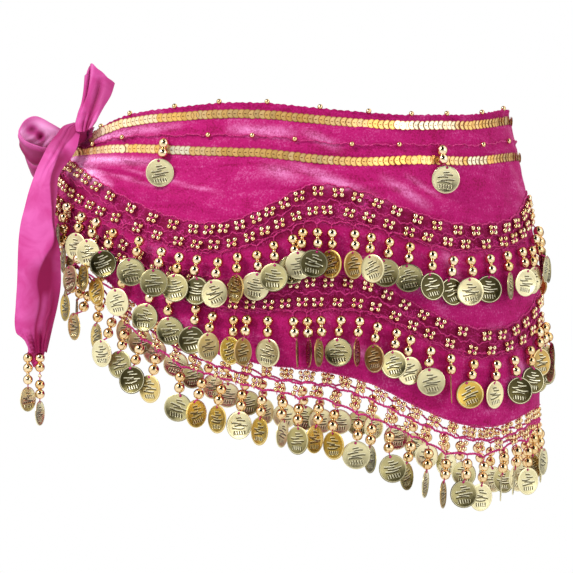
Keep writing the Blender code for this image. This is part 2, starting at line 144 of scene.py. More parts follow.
_length *= math.radians(_fine[1] - _fine[0])
print("length along the cloth:", round(_length[-1] * 170), "mm")


# %% Points of the form
def outward(angle):
    """Level unit normal of the oval: (depth share x sine, minus cosine), divided by its length."""
    turn = np.radians(angle)
    normal = np.stack((np.sin(turn) * DEPTH_SHARE, -np.cos(turn), np.zeros_like(turn)), -1)
    return normal / np.linalg.norm(normal, axis=-1, keepdims=True)


def onward(angle):
    """Level unit tangent of the oval, towards larger angles: the normal turned a quarter."""
    normal = outward(angle)
    return np.stack((-normal[..., 1], normal[..., 0], np.zeros(normal.shape[:-1])), -1)


def hip(angle, height, out):
    """Point of the form: half width x sine across, depth x minus cosine, then moved out along the normal."""
    angle, height, out = np.broadcast_arrays(angle, height, out)
    across = smooth(FORM, 1, height)
    turn = np.radians(angle)
    point = np.stack((across * np.sin(turn), -DEPTH_SHARE * across * np.cos(turn), height), -1)
    return point + outward(angle) * out[..., None]


print("half width at the waist:", hip(90.0, 0.0, 0.0)[0], "mm")

# %% [markdown]
# ## How the cloth rises off the form
#
# The velvet is drawn together at the knot, so folds fan out from there, and others slant over the front of
# the hip. A cloth simulation could find them, but it would also move every bead that is sewn on. So each
# fold is laid as a soft ridge along a short line, and all of them are added up. What is sewn on
# reads the same function, and so it follows the cloth.

# %% Folds of the cloth
MM_PER_DEGREE = 2.4  # mean length of cloth to a degree, enough to place a fold
FOLDS = (  # degrees from the middle and height at each end, half width, rise
    (166, -34, 100, -70, 5.0, 2.2), (164, -31, 118, -36, 4.0, 1.6), (164, -40, 128, -62, 5.0, 1.8),
    (80, -10, 52, -42, 7.0, 2.0), (80, -44, 46, -72, 8.0, 2.4), (40, -50, 20, -66, 8.0, 1.6),
    (104, -140, 76, -160, 9.0, 1.8), (58, -170, 40, -196, 9.0, 1.8),
)
FINE_FOLDS = (  # the same, for the smaller creases of the front half
    (158, -33, 134, -41.5, 1.6, 1.4), (135, -41, 104, -61, 1.6, 1.3), (162, -40, 138, -60, 2.2, 1.0),
    (162, -34, 118, -46, 2.8, 0.9), (160, -31, 100, -38, 2.2, 0.7), (150, -24, 118, -13, 2.4, 0.6),
    (72, -12, 60, -24, 3.2, 1.1), (69, -40, 52, -51, 3.2, 1.6), (62, -53, 43, -71, 3.6, 1.6),
    (52, -45, 32, -60, 3.6, 1.0), (88, -45, 76, -60, 3.0, 0.9), (97, -50, 82, -49, 4.0, 0.7),
    (66, -20, 44, -30, 2.4, 0.7), (40, -16, 20, -26, 3.0, 0.8), (108, -112, 86, -126, 4.0, 1.0),
    (92, -128, 70, -124, 4.0, 0.8), (60, -108, 40, -122, 4.0, 1.1), (54, -130, 30, -140, 4.5, 1.0),
    (70, -174, 50, -190, 3.4, 1.3), (42, -186, 18, -199, 3.8, 1.2), (100, -150, 84, -168, 3.4, 1.0),
)
LIT = (  # the same, for painted highlights where the pile catches the light; a negative rise paints shade
    (163, -34, 143, -43, 4.2, 1.70), (166, -33, 138, -52, 3.4, 1.60), (160, -34, 148, -46, 3.6, 1.10),
    (157, -35.5, 134, -43.5, 1.3, -0.80), (134, -43.5, 106, -62, 1.4, -0.50), (165, -30, 122, -37, 2.4, 1.20),
    (164, -27, 140, -27, 1.6, 0.90), (160, -20, 134, -17, 2.0, 0.90), (150, -37, 112, -58, 1.6, 0.45),
    (134, -40, 104, -58.5, 0.9, 0.55), (147, -17, 118, -12, 2.8, 0.60), (103, -15, 87, -18, 3.2, 0.68),
    (94, -42, 87, -46, 4.0, 0.64), (87, -39, 68, -61, 3.2, 0.64), (84, -17, 76, -28, 2.8, 0.72),
    (65, -48, 54, -67, 2.8, 0.54), (59, -46, 50, -61, 1.6, 0.45), (50, -98, 46, -116, 2.6, 0.60),
    (96, -116, 84, -120, 2.2, 0.50), (60, -118, 52, -128, 2.2, 0.55), (36, -150, 26, -158, 3.0, 0.50),
    (76, -160, 66, -172, 3.0, 0.45), (24, -170, 14, -192, 3.0, 0.45),
)
LIT_SHIFT, MOST_LIT = 5.0, 1.6  # how far the strokes are moved on the rear half, and the most they add up to
BUNCH = 8.5  # how far the cloth bunches up beside the knot, mm
WAVES = 14
rng = np.random.default_rng(11)
rear_shift = rng.uniform(-1, 1, (len(FINE_FOLDS), 4)) * (4, 3, 4, 3)
waves = np.stack(
    (
        rng.uniform(12, 34, WAVES),  # wavelength, mm
        rng.uniform(0, np.pi, WAVES),  # direction
        rng.uniform(0, 2 * np.pi, WAVES),  # phase
        rng.uniform(0.05, 0.14, WAVES),  # height, mm
    ),
    1,
)


def ridge(along_mm, height, start_at, start_z, end_at, end_z, half, lift):
    """Ridge along a line: lift x e to the minus (distance / half width) squared, lower at its ends."""
    run_x, run_z = (end_at - start_at) * MM_PER_DEGREE, end_z - start_z
    off_x, off_z = along_mm - start_at * MM_PER_DEGREE, height - start_z
    share = np.clip((off_x * run_x + off_z * run_z) / (run_x**2 + run_z**2), 0, 1)
    away = np.hypot(off_x - run_x * share, off_z - run_z * share)
    return lift * np.exp(-((away / half) ** 2)) * (0.35 + 0.65 * np.sin(np.pi * share))


def lit_share(angle, height):
    """How much painted highlight the pile takes: the sum of the lit strokes, moved a little on the rear half.
    """
    flat = from_middle(angle) * MM_PER_DEGREE
    aside = np.where(angle > CENTRE_ANGLE, LIT_SHIFT, 0.0)
    return np.clip(sum(ridge(flat - aside, height - aside / 2, *stroke) for stroke in LIT), 0, MOST_LIT)


def rise(angle, height):
    """How far the cloth stands off the form: the sum of all folds and of low waves in every direction."""
    angle, height = np.broadcast_arrays(angle, height)
    flat = from_middle(angle) * MM_PER_DEGREE
    rear = angle > CENTRE_ANGLE
    total = sum(ridge(flat, height, *fold) for fold in FOLDS)
    for fold, shift in zip(FINE_FOLDS, rear_shift):
        moved = np.add(fold[:4], shift)
        total += np.where(rear, ridge(flat, height, *moved, *fold[4:]), ridge(flat, height, *fold))
    for length, turn, phase, high in waves:
        step = (angle * MM_PER_DEGREE * math.cos(turn) + height * math.sin(turn)) * 2 * np.pi / length
        total += high * np.sin(step + phase)
    bunched = ramp(132, 170, from_middle(angle)) * ramp(-18, -44, height) * (1 - ramp(-78, -104, height))
    return total + BUNCH * bunched


def cloth(angle, height, out):
    """Point over the folded cloth."""
    return hip(angle, height, out + rise(angle, height))


print("highest fold:", round(float(rise(_fine[:, None], np.linspace(0, -200, 90)[None]).max()), 1), "mm")

# %% [markdown]
# ## From numbers to meshes
#
# A surface is a grid of points, and its faces join each point to its neighbours. Thin pieces get a second
# grid behind the first, with the rim closed, so that they are real walls. Beads and coins are one small
# turned shape each, copied to many places as one array sum, which is much faster than making objects one by
# one.

# %% Grids, walls, turned shapes, copies and cords
def grid_faces(rows, columns):
    """Quads that join a grid's points, seen from its front."""
    index = np.arange(rows * columns).reshape(rows, columns)
    return np.stack((index[:-1, :-1], index[1:, :-1], index[1:, 1:], index[:-1, 1:]), -1).reshape(-1, 4)


def closed_wall(front, back):
    """Wall between two grids of points, with its rim closed."""
    rows, columns = front.shape[:2]
    size = rows * columns
    index = np.arange(size).reshape(rows, columns)
    edge = np.concatenate((index[:-1, 0], index[-1, :-1], index[1:, -1][::-1], index[0, 1:][::-1]))
    following = np.roll(edge, -1)
    rim = np.stack((edge, edge + size, following + size, following), -1)
    faces = grid_faces(rows, columns)
    points = np.concatenate((front.reshape(-1, 3), back.reshape(-1, 3)))
    return points, [faces, faces[:, ::-1] + size, rim]


def grid_normals(grid):
    """Unit normals of a grid: the cross product of its two directions at each point."""
    normal = np.cross(np.gradient(grid, axis=0), np.gradient(grid, axis=1))
    return normal / np.maximum(np.linalg.norm(normal, axis=-1, keepdims=True), 1e-9)


def grid_area(grid):
    """Area of a grid in square metres, as the sum of its cells' sides' cross products."""
    across = grid[:-1, 1:] - grid[:-1, :-1]
    down = grid[1:, :-1] - grid[:-1, :-1]
    return float(np.linalg.norm(np.cross(across, down), axis=-1).sum()) * MM * MM


def turned(profile, sides):
    """Shape turned round Z from (radius, height) pairs, low to high, with a point or a cap at each end."""
    turn = np.arange(sides) * 2 * np.pi / sides
    points, faces, rings = [], [], []
    count = 0
    for radius, height in profile:
        size = sides if radius else 1
        ring = np.stack((radius * np.cos(turn), radius * np.sin(turn), np.full(sides, height)), -1)
        points.append(ring[:size])
        rings.append(count + np.arange(sides) % size)
        count += size
    for (low, low_ring), (high, high_ring) in zip(zip(profile, rings), zip(profile[1:], rings[1:])):
        low_next, high_next = np.roll(low_ring, -1), np.roll(high_ring, -1)
        if low[0] == 0:
            faces.append(np.stack((low_ring, high_next, high_ring), -1))
        elif high[0] == 0:
            faces.append(np.stack((high_ring, low_ring, low_next), -1))
        else:
            faces.append(np.stack((low_ring, low_next, high_next, high_ring), -1))
    if profile[0][0] > 0:
        faces.append(rings[0][::-1][None])
    if profile[-1][0] > 0:
        faces.append(rings[-1][None])
    return np.concatenate(points), faces


def ball(sides, rings, radius=1.0):
    """Bead: a half circle turned round Z."""
    turn = np.linspace(-np.pi / 2, np.pi / 2, rings + 1)
    profile = [(radius * math.cos(t), radius * math.sin(t)) for t in turn[1:-1]]
    return turned([(0, -radius), *profile, (0, radius)], sides)


def copies(template, origins, axes):
    """Copies of a small shape: each point is the origin plus x, y and z times that copy's three axes."""
    points, faces = template
    origins, axes = np.asarray(origins, float), np.asarray(axes, float)
    placed = origins[:, None] + np.einsum("pk,nkj->npj", points, axes)
    shift = np.arange(len(origins)) * len(points)
    moved = [(f[None] + shift[:, None, None]).reshape(-1, f.shape[1]) for f in faces]
    return placed.reshape(-1, 3), moved


def together(*shapes):
    """Several lots of points and faces as one."""
    points, faces, count = [], [], 0
    for some, lots in shapes:
        points.append(some)
        faces += [f + count for f in lots]
        count += len(some)
    return np.concatenate(points), faces


def cord_round(path, facing, radius, sides):
    """Round cord along a path: rings of radius x (cosine x facing + sine x side), capped at both ends."""
    along = np.gradient(path, axis=0)
    along /= np.linalg.norm(along, axis=1, keepdims=True)
    facing = facing - along * (facing * along).sum(1, keepdims=True)
    facing /= np.linalg.norm(facing, axis=1, keepdims=True)
    side = np.cross(along, facing)
    turn = np.arange(sides) * 2 * np.pi / sides
    ring = np.cos(turn)[None, :, None] * facing[:, None] + np.sin(turn)[None, :, None] * side[:, None]
    points = path[:, None] + ring * radius[:, None, None]
    index = np.arange(len(path) * sides).reshape(len(path), sides)
    nearer, further = np.roll(index, -1, 1)[:-1], np.roll(index, -1, 1)[1:]
    quads = np.stack((index[:-1], nearer, further, index[1:]), -1).reshape(-1, 4)
    return points.reshape(-1, 3), [quads, index[0][::-1][None], index[-1][None]]


def struts(starts, ends, radius):
    """Straight threads between pairs of points, each a four-sided rod."""
    starts, ends = np.asarray(starts, float), np.asarray(ends, float)
    run = ends - starts
    length = np.linalg.norm(run, axis=1, keepdims=True)
    unit = run / length
    aside = np.cross(unit, np.where(np.abs(unit[:, 2:]) > 0.9, [[1.0, 0, 0]], [[0, 0, 1.0]]))
    aside /= np.linalg.norm(aside, axis=1, keepdims=True)
    other = np.cross(unit, aside)
    axes = np.stack((aside * radius, other * radius, run), 1)
    return copies(turned([(1, 0), (1, 1)], 4), starts, axes)


print("a bead:", len(ball(8, 5)[0]), "points")

# %% [markdown]
# ## Finishes
#
# Six finishes cover the scarf: crushed velvet, soft satin, gold beads, stamped coins, sequins and crochet
# thread. Each is made of nodes. The velvet's patches come from noise at three sizes, because a crushed pile
# catches the light in blotches, in streaks and in single glints; that sheen and shade are painted into its
# colour.

# %% Node helpers
class Value:
    """A value in a node tree. Arithmetic on it adds a math node, and gives the value that comes out."""

    def __init__(self, nodes, socket):
        self.nodes, self.socket = nodes, socket

    def step(self, operation, first, second=0.0):
        return self.nodes.add("ShaderNodeMath", [(0, first), (1, second)], operation=operation)

    def __add__(self, other):
        return self.step("ADD", self, other)

    def __sub__(self, other):
        return self.step("SUBTRACT", self, other)

    def __mul__(self, other):
        return self.step("MULTIPLY", self, other)

    def __abs__(self):
        return self.step("ABSOLUTE", self)

    def sine(self):
        return self.step("SINE", self)

    def least(self, other):
        return self.step("MINIMUM", self, other)

    def most(self, other):
        return self.step("MAXIMUM", self, other)

    def spread(self, low, high, to_low=0.0, to_high=1.0):
        """Maps low..high to to_low..to_high, smoothly and without going past either."""
        sockets = ("Value", "From Min", "From Max", "To Min", "To Max")
        feeds = zip(sockets, (self, low, high, to_low, to_high))
        return self.nodes.add("ShaderNodeMapRange", feeds, interpolation_type="SMOOTHSTEP")


class Nodes:
    """A node tree, with a short call for each kind of node that the finishes share."""

    def __init__(self, tree):
        self.tree = tree

    def feed(self, socket, value):
        """Links a value to a socket, or sets the socket to a number or a colour."""
        if isinstance(value, Value):
            self.tree.links.new(value.socket, socket)
        else:
            socket.default_value = (*value, 1.0) if socket.type == "RGBA" else value

    def add(self, kind, feeds=(), out=0, **settings):
        """Adds a node, sets its properties and feeds its inputs, and gives one of its outputs."""
        made = self.tree.nodes.new(kind)
        for key, value in settings.items():
            setattr(made, key, value)
        for key, value in feeds:
            self.feed(made.inputs[key], value)
        return Value(self, made.outputs[out])

    def place(self, kind="Object"):
        return self.add("ShaderNodeTexCoord", out=kind)

    def per_point(self, name):
        """The value that a piece's points carry under this name."""
        return self.add("ShaderNodeAttribute", out="Fac", attribute_name=name)

    def split(self, place):
        """The three coordinates of a place."""
        parts = self.add("ShaderNodeSeparateXYZ", [(0, place)]).socket.node
        return [Value(self, socket) for socket in parts.outputs]

    def vector(self, operation, first, second):
        """The number that a step between two places gives, such as their distance."""
        return self.add("ShaderNodeVectorMath", [(0, first), (1, second)], "Value", operation=operation)

    def noise(self, where, scale, detail=3.0, roughness=0.55, distortion=0.0):
        """Noise between 0 and 1 at a place, with features about 1 / scale across."""
        feeds = [("Vector", where), ("Scale", scale), ("Detail", detail), ("Roughness", roughness)]
        return self.add("ShaderNodeTexNoise", [*feeds, ("Distortion", distortion)])

    def layered(self, colour, *layers):
        """Lays colours over one another, each by its share."""
        for share, over in layers:
            colour = self.add("ShaderNodeMix", [(0, share), (6, colour), (7, over)], 2, data_type="RGBA")
        return colour

    def mixed(self, share, first, second):
        """Number between two others, by a share."""
        return self.add("ShaderNodeMix", [(0, share), (2, first), (3, second)], data_type="FLOAT")


def new_finish(name, roughness, metallic, **constants):
    """New material, its nodes and the inputs of its Principled shader, set to the given values."""
    material = bpy.data.materials.new(name)
    material.use_nodes = True
    nodes = Nodes(material.node_tree)
    shader = nodes.tree.nodes["Principled BSDF"].inputs
    for key, value in {"Roughness": roughness, "Metallic": metallic, **constants}.items():
        nodes.feed(shader[key.replace("_", " ")], value)
    return material, nodes, shader


def finished(finish, colour, height, strength, distance):
    """Feeds the shader its colour, and a height as bump with its depth in metres."""
    material, nodes, shader = finish
    nodes.feed(shader["Base Color"], colour)
    bump_feeds = [("Height", height), ("Strength", strength), ("Distance", distance)]
    nodes.feed(shader["Normal"], nodes.add("ShaderNodeBump", bump_feeds))
    print("made", material.name)
    return material


# %% Crushed velvet
def make_velvet():
    """Velvet: painted sheen and shade in blotches and streaks, painted highlights on folds, and painted shade
    over the crochet ground and loops of the bead bands.
    """
    sheen = {"Sheen_Weight": 0.10, "Sheen_Roughness": 0.4, "Sheen_Tint": (1.0, 0.45, 0.78)}
    finish = new_finish("crushed_velvet", 0.75, 0.0, Specular_IOR_Level=0.12, **sheen)
    nodes = finish[1]
    where = nodes.place()
    slanting = [("Vector", where), ("Rotation", (0.0, 0.5, 0.0)), ("Scale", (18.0, 18.0, 95.0))]
    blotch = nodes.noise(where, 46.0, 4.0, 0.62, 1.0)
    streak = nodes.noise(nodes.add("ShaderNodeMapping", slanting), 1.0, 5.0, 0.65, 0.9)
    grain_and_glints = nodes.noise(where, 760.0, 2.0, 0.8)
    curl = nodes.noise(where, 260.0, 1.0, 0.5, 1.6)
    band = nodes.per_point("band")
    light = blotch * 0.45 + streak * 0.55 + (grain_and_glints - 0.5) * 0.65
    glow = nodes.per_point("lit") * light.spread(0.32, 0.66, 0.25, 1.2)
    loops = abs(curl - 0.5).spread(0.05, 0.02) * (band * streak.spread(0.42, 0.6, 0.15, 0.8))
    colour = nodes.layered(
        (0.455, 0.007, 0.145),
        (light.spread(0.52, 0.72, 0.0, 0.34), (0.86, 0.22, 0.55)),  # painted sheen: pile that lies towards the light
        (light.spread(0.49, 0.33, 0.0, 0.8), (0.25, 0.002, 0.052)),  # painted shade: pile that lies away from it
        (glow.least(1.0), (0.90, 0.33, 0.68)),  # painted highlights along the folds, brighter where the strokes add up
        (glow.spread(0.95, 1.6, 0.0, 0.8), (1.0, 0.66, 0.92)),
        (band * blotch.spread(0.66, 0.40, 0.55, 1.0), (0.18, 0.001, 0.033)),  # painted shade under the bead rows, over their darker crochet ground
        (loops, (0.76, 0.045, 0.32)),
    )
    return finished(finish, colour, grain_and_glints + streak * 1.2 + loops * 1.5, 0.5, 0.0005)


velvet = make_velvet()


# %% Satin of the ties
def make_satin():
    """Satin: a fine weave on the piece's UV map, in millimetres, slow changes of tone along the folds, and
    painted shade and highlight from each point's value.
    """
    sheen = {"Sheen_Weight": 0.08, "Sheen_Roughness": 0.5, "Sheen_Tint": (1.0, 0.55, 0.85)}
    finish = new_finish("tie_satin", 0.5, 0.0, Specular_IOR_Level=0.2, **sheen)
    nodes = finish[1]
    feeds = [("Vector", nodes.place("UV")), ("Scale", 0.55), ("Distortion", 0.6)]
    warp, weft = (nodes.add("ShaderNodeTexWave", feeds, "Fac", bands_direction=way) for way in "XY")
    hollow = nodes.per_point("hollow")
    colour = nodes.layered(
        (0.57, 0.045, 0.26),
        (nodes.noise(nodes.place(), 60.0, 3.0, 0.55, 0.6).spread(0.3, 0.7), (0.71, 0.11, 0.41)),
        # painted shade where the value is above 0
        (hollow.most(0.0), (0.24, 0.001, 0.058)),
        ((hollow * -1.0).most(0.0), (1.0, 0.42, 0.80)),  # a negative value is a painted highlight
    )
    return finished(finish, colour, warp * weft, 0.12, 0.0001)


satin = make_satin()


# %% Gold beads
def make_gold():
    """Plated beads: polished metal whose tone changes a little from bead to bead and over each of them."""
    finish = new_finish("plated_gold", 0.14, 1.0, Specular_Tint=(0.62, 0.30, 0.12))
    nodes = finish[1]
    where = nodes.place()
    colour = nodes.layered(
        (0.80, 0.55, 0.26),
        (nodes.per_point("tint"), (0.95, 0.80, 0.54)),
        (nodes.noise(where, 300.0).spread(0.5, 0.75, 0.0, 0.3), (0.74, 0.46, 0.20)),
    )
    wear = nodes.noise(where, 700.0, 2.0)
    nodes.feed(finish[2]["Roughness"], wear.spread(0.3, 0.8, 0.06, 0.16))
    return finished(finish, colour, wear, 0.08, 0.0002)


gold = make_gold()

# %% Stamped coins
COIN_REFLECTIONS = (  # painted reflections: dark, olive, pale, golden, brown
    (0.07, 0.058, 0.022), (0.66, 0.58, 0.28), (0.90, 0.82, 0.50), (0.80, 0.54, 0.10), (0.46, 0.29, 0.12),
)
STROKES = (  # height, swing, waves across, start of the wave, left end, right end
    (0.765, 0.016, 9.0, 0.0, 0.36, 0.62), (0.675, 0.022, 8.0, 2.0, 0.40, 0.76),
    (0.585, 0.024, 9.0, 4.0, 0.18, 0.60), (0.495, 0.022, 8.0, 1.0, 0.30, 0.84),
    (0.405, 0.020, 9.0, 5.0, 0.20, 0.72),
)


def make_coin_finish():
    """Coins: brass that shows one of five painted reflections, stamped with a plain pattern of wavy strokes,
    a row of ticks and a rim, which carry painted highlights and shadows.
    """
    finish = new_finish("stamped_coin", 0.3, 1.0)
    nodes = finish[1]
    uv = nodes.place("UV")
    tint, mark = nodes.per_point("tint"), nodes.per_point("mark")
    across, up, _ = nodes.split(uv)
    radius = nodes.vector("DISTANCE", uv, (0.5, 0.5, 0.0))
    lit_edges, shadows = [], []
    for middle, swing, waves_across, start, left, right in STROKES:
        off = up - middle - (across * waves_across + mark * (5.0 + start)).sine() * swing
        ends = across.spread(left, left + 0.04) * across.spread(right, right - 0.04)
        lit_edges.append(abs(off - 0.018).spread(0.026, 0.012) * ends)
        shadows.append(abs(off + 0.026).spread(0.030, 0.014) * ends)
    comb = (across * 66.0 + up * 12.0).sine()
    ticks = up.spread(0.15, 0.18) * up.spread(0.32, 0.29) * abs(across - 0.5).spread(0.24, 0.22)
    lit_edge = functools.reduce(Value.most, [*lit_edges, comb.spread(0.0, 0.6) * ticks])
    shadow = functools.reduce(Value.most, [*shadows, comb.spread(-0.1, -0.7) * ticks])
    # The coin's colour ramp: its painted reflection, one of five.
    plate = nodes.add("ShaderNodeValToRGB", [("Fac", tint)])
    stops = plate.socket.node.color_ramp.elements
    while len(stops) < len(COIN_REFLECTIONS):
        stops.new(0.5)
    for k, (stop, tone) in enumerate(zip(stops, COIN_REFLECTIONS)):
        stop.position, stop.color = k / (len(COIN_REFLECTIONS) - 1), (*tone, 1.0)
    colour = nodes.layered(
        plate,
        # Painted reflection: the lower half of a dark coin is darker.
        (up.spread(0.72, 0.10, 0.0, 0.8) * tint.spread(0.42, 0.2, 0.25, 1.0), (0.13, 0.11, 0.04)),
        # painted highlight on the upper edge of each stamped stroke and on every other tick, and painted
        # shadow under them
        (lit_edge * 0.8, (1.0, 0.95, 0.68)),
        (shadow * 0.88, (0.05, 0.035, 0.01)),
        (abs(radius - 0.462).spread(0.016, 0.008, 0.0, 0.6), (1.0, 0.92, 0.62)),  # painted highlight along the rim
        (nodes.vector("DISTANCE", uv, (0.5, 0.925, 0.0)).spread(0.055, 0.045), (0.30, 0.01, 0.09)),  # hole
    )
    rub = nodes.noise(nodes.place(), 300.0, 2.0).spread(0.3, 0.75, 0.0, 0.1)
    nodes.feed(finish[2]["Roughness"], rub + (mark * 40.0).sine().spread(-1.0, 1.0, 0.22, 0.38))
    beading = (radius - 0.435).spread(0.0, 0.012)
    return finished(finish, colour, lit_edge - shadow + beading * 0.5, 0.7, 0.0003)


coin_finish = make_coin_finish()


# %% Sequins and crochet thread
def make_sequin_finish():
    """Sequins: orange gold film, paler by painted highlight and a little at random, with a dark stitch over
    the hole and painted shade at the edge.
    """
    finish = new_finish("gold_sequin", 0.36, 0.85)
    nodes = finish[1]
    uv = nodes.place("UV")
    stretched = [("Vector", uv), ("Location", (-0.30, -1.25, 0.0)), ("Scale", (1.0, 2.5, 1.0))]
    slit = nodes.vector("DISTANCE", nodes.add("ShaderNodeMapping", stretched), (0.0, 0.0, 0.0))
    colour = nodes.layered(
        (0.98, 0.58, 0.16),
        # paler by painted highlight, and a little at random
        (nodes.per_point("tint"), (1.0, 0.94, 0.70)),
        # painted shade at the edge, where the sequins lap
        (nodes.vector("DISTANCE", uv, (0.5, 0.5, 0.0)).spread(0.36, 0.49, 0.0, 0.85), (0.42, 0.17, 0.03)),
        (slit.spread(0.17, 0.10, 0.0, 0.9), (0.26, 0.07, 0.03)),
    )
    return finished(finish, colour, nodes.noise(nodes.place(), 520.0, 2.0), 0.12, 0.0002)


def make_thread():
    """Crochet thread: dull fuchsia with a fine twist and single lighter fibres."""
    finish = new_finish("crochet_thread", 0.8, 0.0, Sheen_Weight=0.08)
    twist = finish[1].noise(finish[1].place(), 900.0, 2.0, 0.6, 0.5)
    colour = finish[1].layered((0.40, 0.004, 0.105), (twist.spread(0.35, 0.7), (0.74, 0.04, 0.29)))
    return finished(finish, colour, twist, 0.5, 0.0004)


sequin_finish, thread = make_sequin_finish(), make_thread()

# %% [markdown]
# ## Putting a piece into the scene
#
# Points and faces go into a mesh as whole arrays. The object stays at the origin, so that the model's frame
# is also the piece's own. Each piece rides on the model's one body and says which node of the model it
# stands for.

# %% One call per piece
def new_piece(
    name, shape, finish, slot, nodes=(), uv=None, tint=None, extra=None, turn_out=False, sharp=40.0
):
    """Makes a mesh from points in millimetres and lots of faces, with its UV map and its values per point."""
    points, faces = shape
    mesh = bpy.data.meshes.new(name)
    mesh.vertices.add(len(points))
    mesh.vertices.foreach_set("co", (points * MM).astype(np.float32).ravel())
    corners = np.concatenate([f.ravel() for f in faces]).astype(np.int32)
    sizes = np.concatenate([np.full(len(f), f.shape[1]) for f in faces])
    mesh.loops.add(len(corners))
    mesh.loops.foreach_set("vertex_index", corners)
    mesh.polygons.add(len(sizes))
    mesh.polygons.foreach_set("loop_start", (np.cumsum(sizes) - sizes).astype(np.int32))
    mesh.polygons.foreach_set("use_smooth", np.ones(len(sizes), bool))
    mesh.update(calc_edges=True)
    if uv is not None:
        layer = mesh.uv_layers.new(name="UVMap")
        layer.data.foreach_set("uv", uv[corners].astype(np.float32).ravel())
    for key, values in (("tint", tint), *(extra or {}).items()):
        if values is not None:
            mesh.attributes.new(key, "FLOAT", "POINT").data.foreach_set("value", values.astype(np.float32))
    if turn_out:
        working = bmesh.new()
        working.from_mesh(mesh)
        bmesh.ops.recalc_face_normals(working, faces=working.faces)
        working.to_mesh(mesh)
        working.free()
    mesh.set_sharp_from_angle(angle=math.radians(sharp))
    mesh.materials.append(finish)
    piece = bpy.data.objects.new(name, mesh)
    bpy.context.scene.collection.objects.link(piece)
    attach(piece, "root")
    if nodes:
        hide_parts(*nodes)
    print(name, "-", int((sizes - 2).sum()), "triangles")
    return piece


# %% [markdown]
# ## The velvet
#
# One long piece wraps the hips. It could be a thin surface with no thickness, but then its edge and its
# inside would look like paper. So a second surface lies 1.2 mm behind the first. The top edge is turned
# over and gathered a little by its stitches, and a tuck runs between the two sequin lines.

# %% Bead rows, which also pucker the velvet under them
UPPER_ROWS = (  # degrees from the middle, then how far above the chain the two rows of flowers run
    (10, 7.6, 18.0), (25, 6.2, 15.0), (36, 4.9, 14.1), (49, 5.3, 14.6), (60, 6.2, 17.0), (72, 8.6, 20.5),
    (84, 9.9, 22.8), (92, 9.5, 20.9), (100, 5.8, 16.4), (110, 4.7, 14.8), (122, 5.6, 15.8), (135, 5.9, 18.0),
    (142, 5.6, 20.8), (150, 8.2, 24.4), (157, 9.4, 25.0), (165, 8.4, 19.5), (178, 7.0, 15.5),
)
MIDDLE_ROWS = (
    (10, 7.0, 19.0), (25, 6.0, 15.2), (35, 4.0, 13.5), (45, 3.4, 14.6), (55, 4.8, 16.0), (65, 7.0, 18.6),
    (75, 7.8, 21.0), (85, 7.9, 20.5), (95, 5.2, 17.2), (110, 4.6, 15.0), (130, 4.8, 14.0), (150, 4.2, 10.5),
    (165, 3.8, 9.5), (178, 3.4, 8.5),
)
TIERS = {"upper": (UPPER, UPPER_ROWS), "middle": (MIDDLE, MIDDLE_ROWS)}
PITCH = {"drops": 13.3, "flowers": 13.6}  # millimetres from one to the next


def row_height(tier, which, angle):
    """Height of a tier's chain (0), or of its lower (1) or upper (2) row of bead flowers."""
    column, table = TIERS[tier]
    height = line(column, angle)
    return height if which == 0 else height + smooth(table, which, from_middle(angle))


def closing(angle):
    """0 along most of a row, and up to 1 towards the knot, where the tiers close up."""
    return ramp(136, 150, from_middle(angle))


# %% The velvet wrap
VELVET_THICK = 1.2
COLUMNS, ROWS = 540, 76


def wave(run, length, start=0.0):
    """Sine wave of a length in millimetres along a row."""
    return np.sin(run * 2 * np.pi / length + start)


def gathered_tuck(angle, run):
    """Height of the tuck between the sequin lines, and of the thread that gathers it."""
    return between_tapes(TUCK_SHARE, angle) + 0.5 * wave(run, 23)


def velvet_wrap():
    """Two grids 1.2 mm apart: out = folds + the rolled top edge + the tuck + puckers in the bead bands."""
    share = np.linspace(0, 1, COLUMNS)[None]
    down = np.linspace(0, 1, ROWS)[:, None]
    down = 0.6 * down + 0.4 * down**1.6  # rows lie closer near the top edge
    angle = angle_at(share)
    top, hem = line(TOP, angle), line(HEM, angle)
    run = share * ROW_LENGTH
    below = (top - hem) * down
    gathers = 0.35 * wave(run, 5.3) + 0.2 * wave(run, 8.1, 1)
    height = top - below + gathers * np.exp(-below / 2.0)
    out = rise(angle, height) + 0.9 * bump(below, 0, 1.6) + 0.35 * wave(run, 4.7) * bump(below, 0, 3.5)
    off = height - gathered_tuck(angle, run)
    out = out + (0.75 + 0.3 * wave(run, 3.9)) * bump(off, 0, 0.9) - 0.45 * bump(off, -2.2, 1.4)
    # The bead bands, where the velvet takes painted shade over its darker crochet ground.
    band = np.zeros_like(out)
    for tier in TIERS:
        low, high = row_height(tier, 0, angle), row_height(tier, 2, angle)
        above = high - 2.5 * closing(angle)
        inside = ramp(low - 3, low + 1, height) * (1 - ramp(above + 2.5, above + 5, height))
        band = np.maximum(band, inside * (1 - 0.45 * ramp(124, 146, from_middle(angle))))
        for which, phase in ((1, 0.0), (2, 3.0)):
            row = row_height(tier, which, angle)
            out = out - 0.35 * np.cos(run * 2 * np.pi / PITCH["flowers"] + phase) * bump(height, row, 4.0)
    front, back = hip(angle, height, out), hip(angle, height, out - VELVET_THICK)
    uv = np.tile(np.stack(np.broadcast_arrays(run, height), -1).reshape(-1, 2), (2, 1))
    # Painted highlights of the pile, kept as the attribute lit.
    lit = lit_share(np.broadcast_to(angle, height.shape), height)
    both = {key: np.tile(values.ravel(), 2) for key, values in (("band", band), ("lit", lit))}
    shape = closed_wall(front, back)
    piece = new_piece("velvet_wrap", shape, velvet, "velvet", ["velvet_panel"], uv=uv, extra=both)
    flat_area = float(np.trapz((top - hem)[0], run[0])) * MM * MM
    print("velvet:", round(flat_area, 4), "m2 flat,", round(grid_area(front), 4), "m2 as it hangs")
    return piece, flat_area


velvet_piece, velvet_area = velvet_wrap()

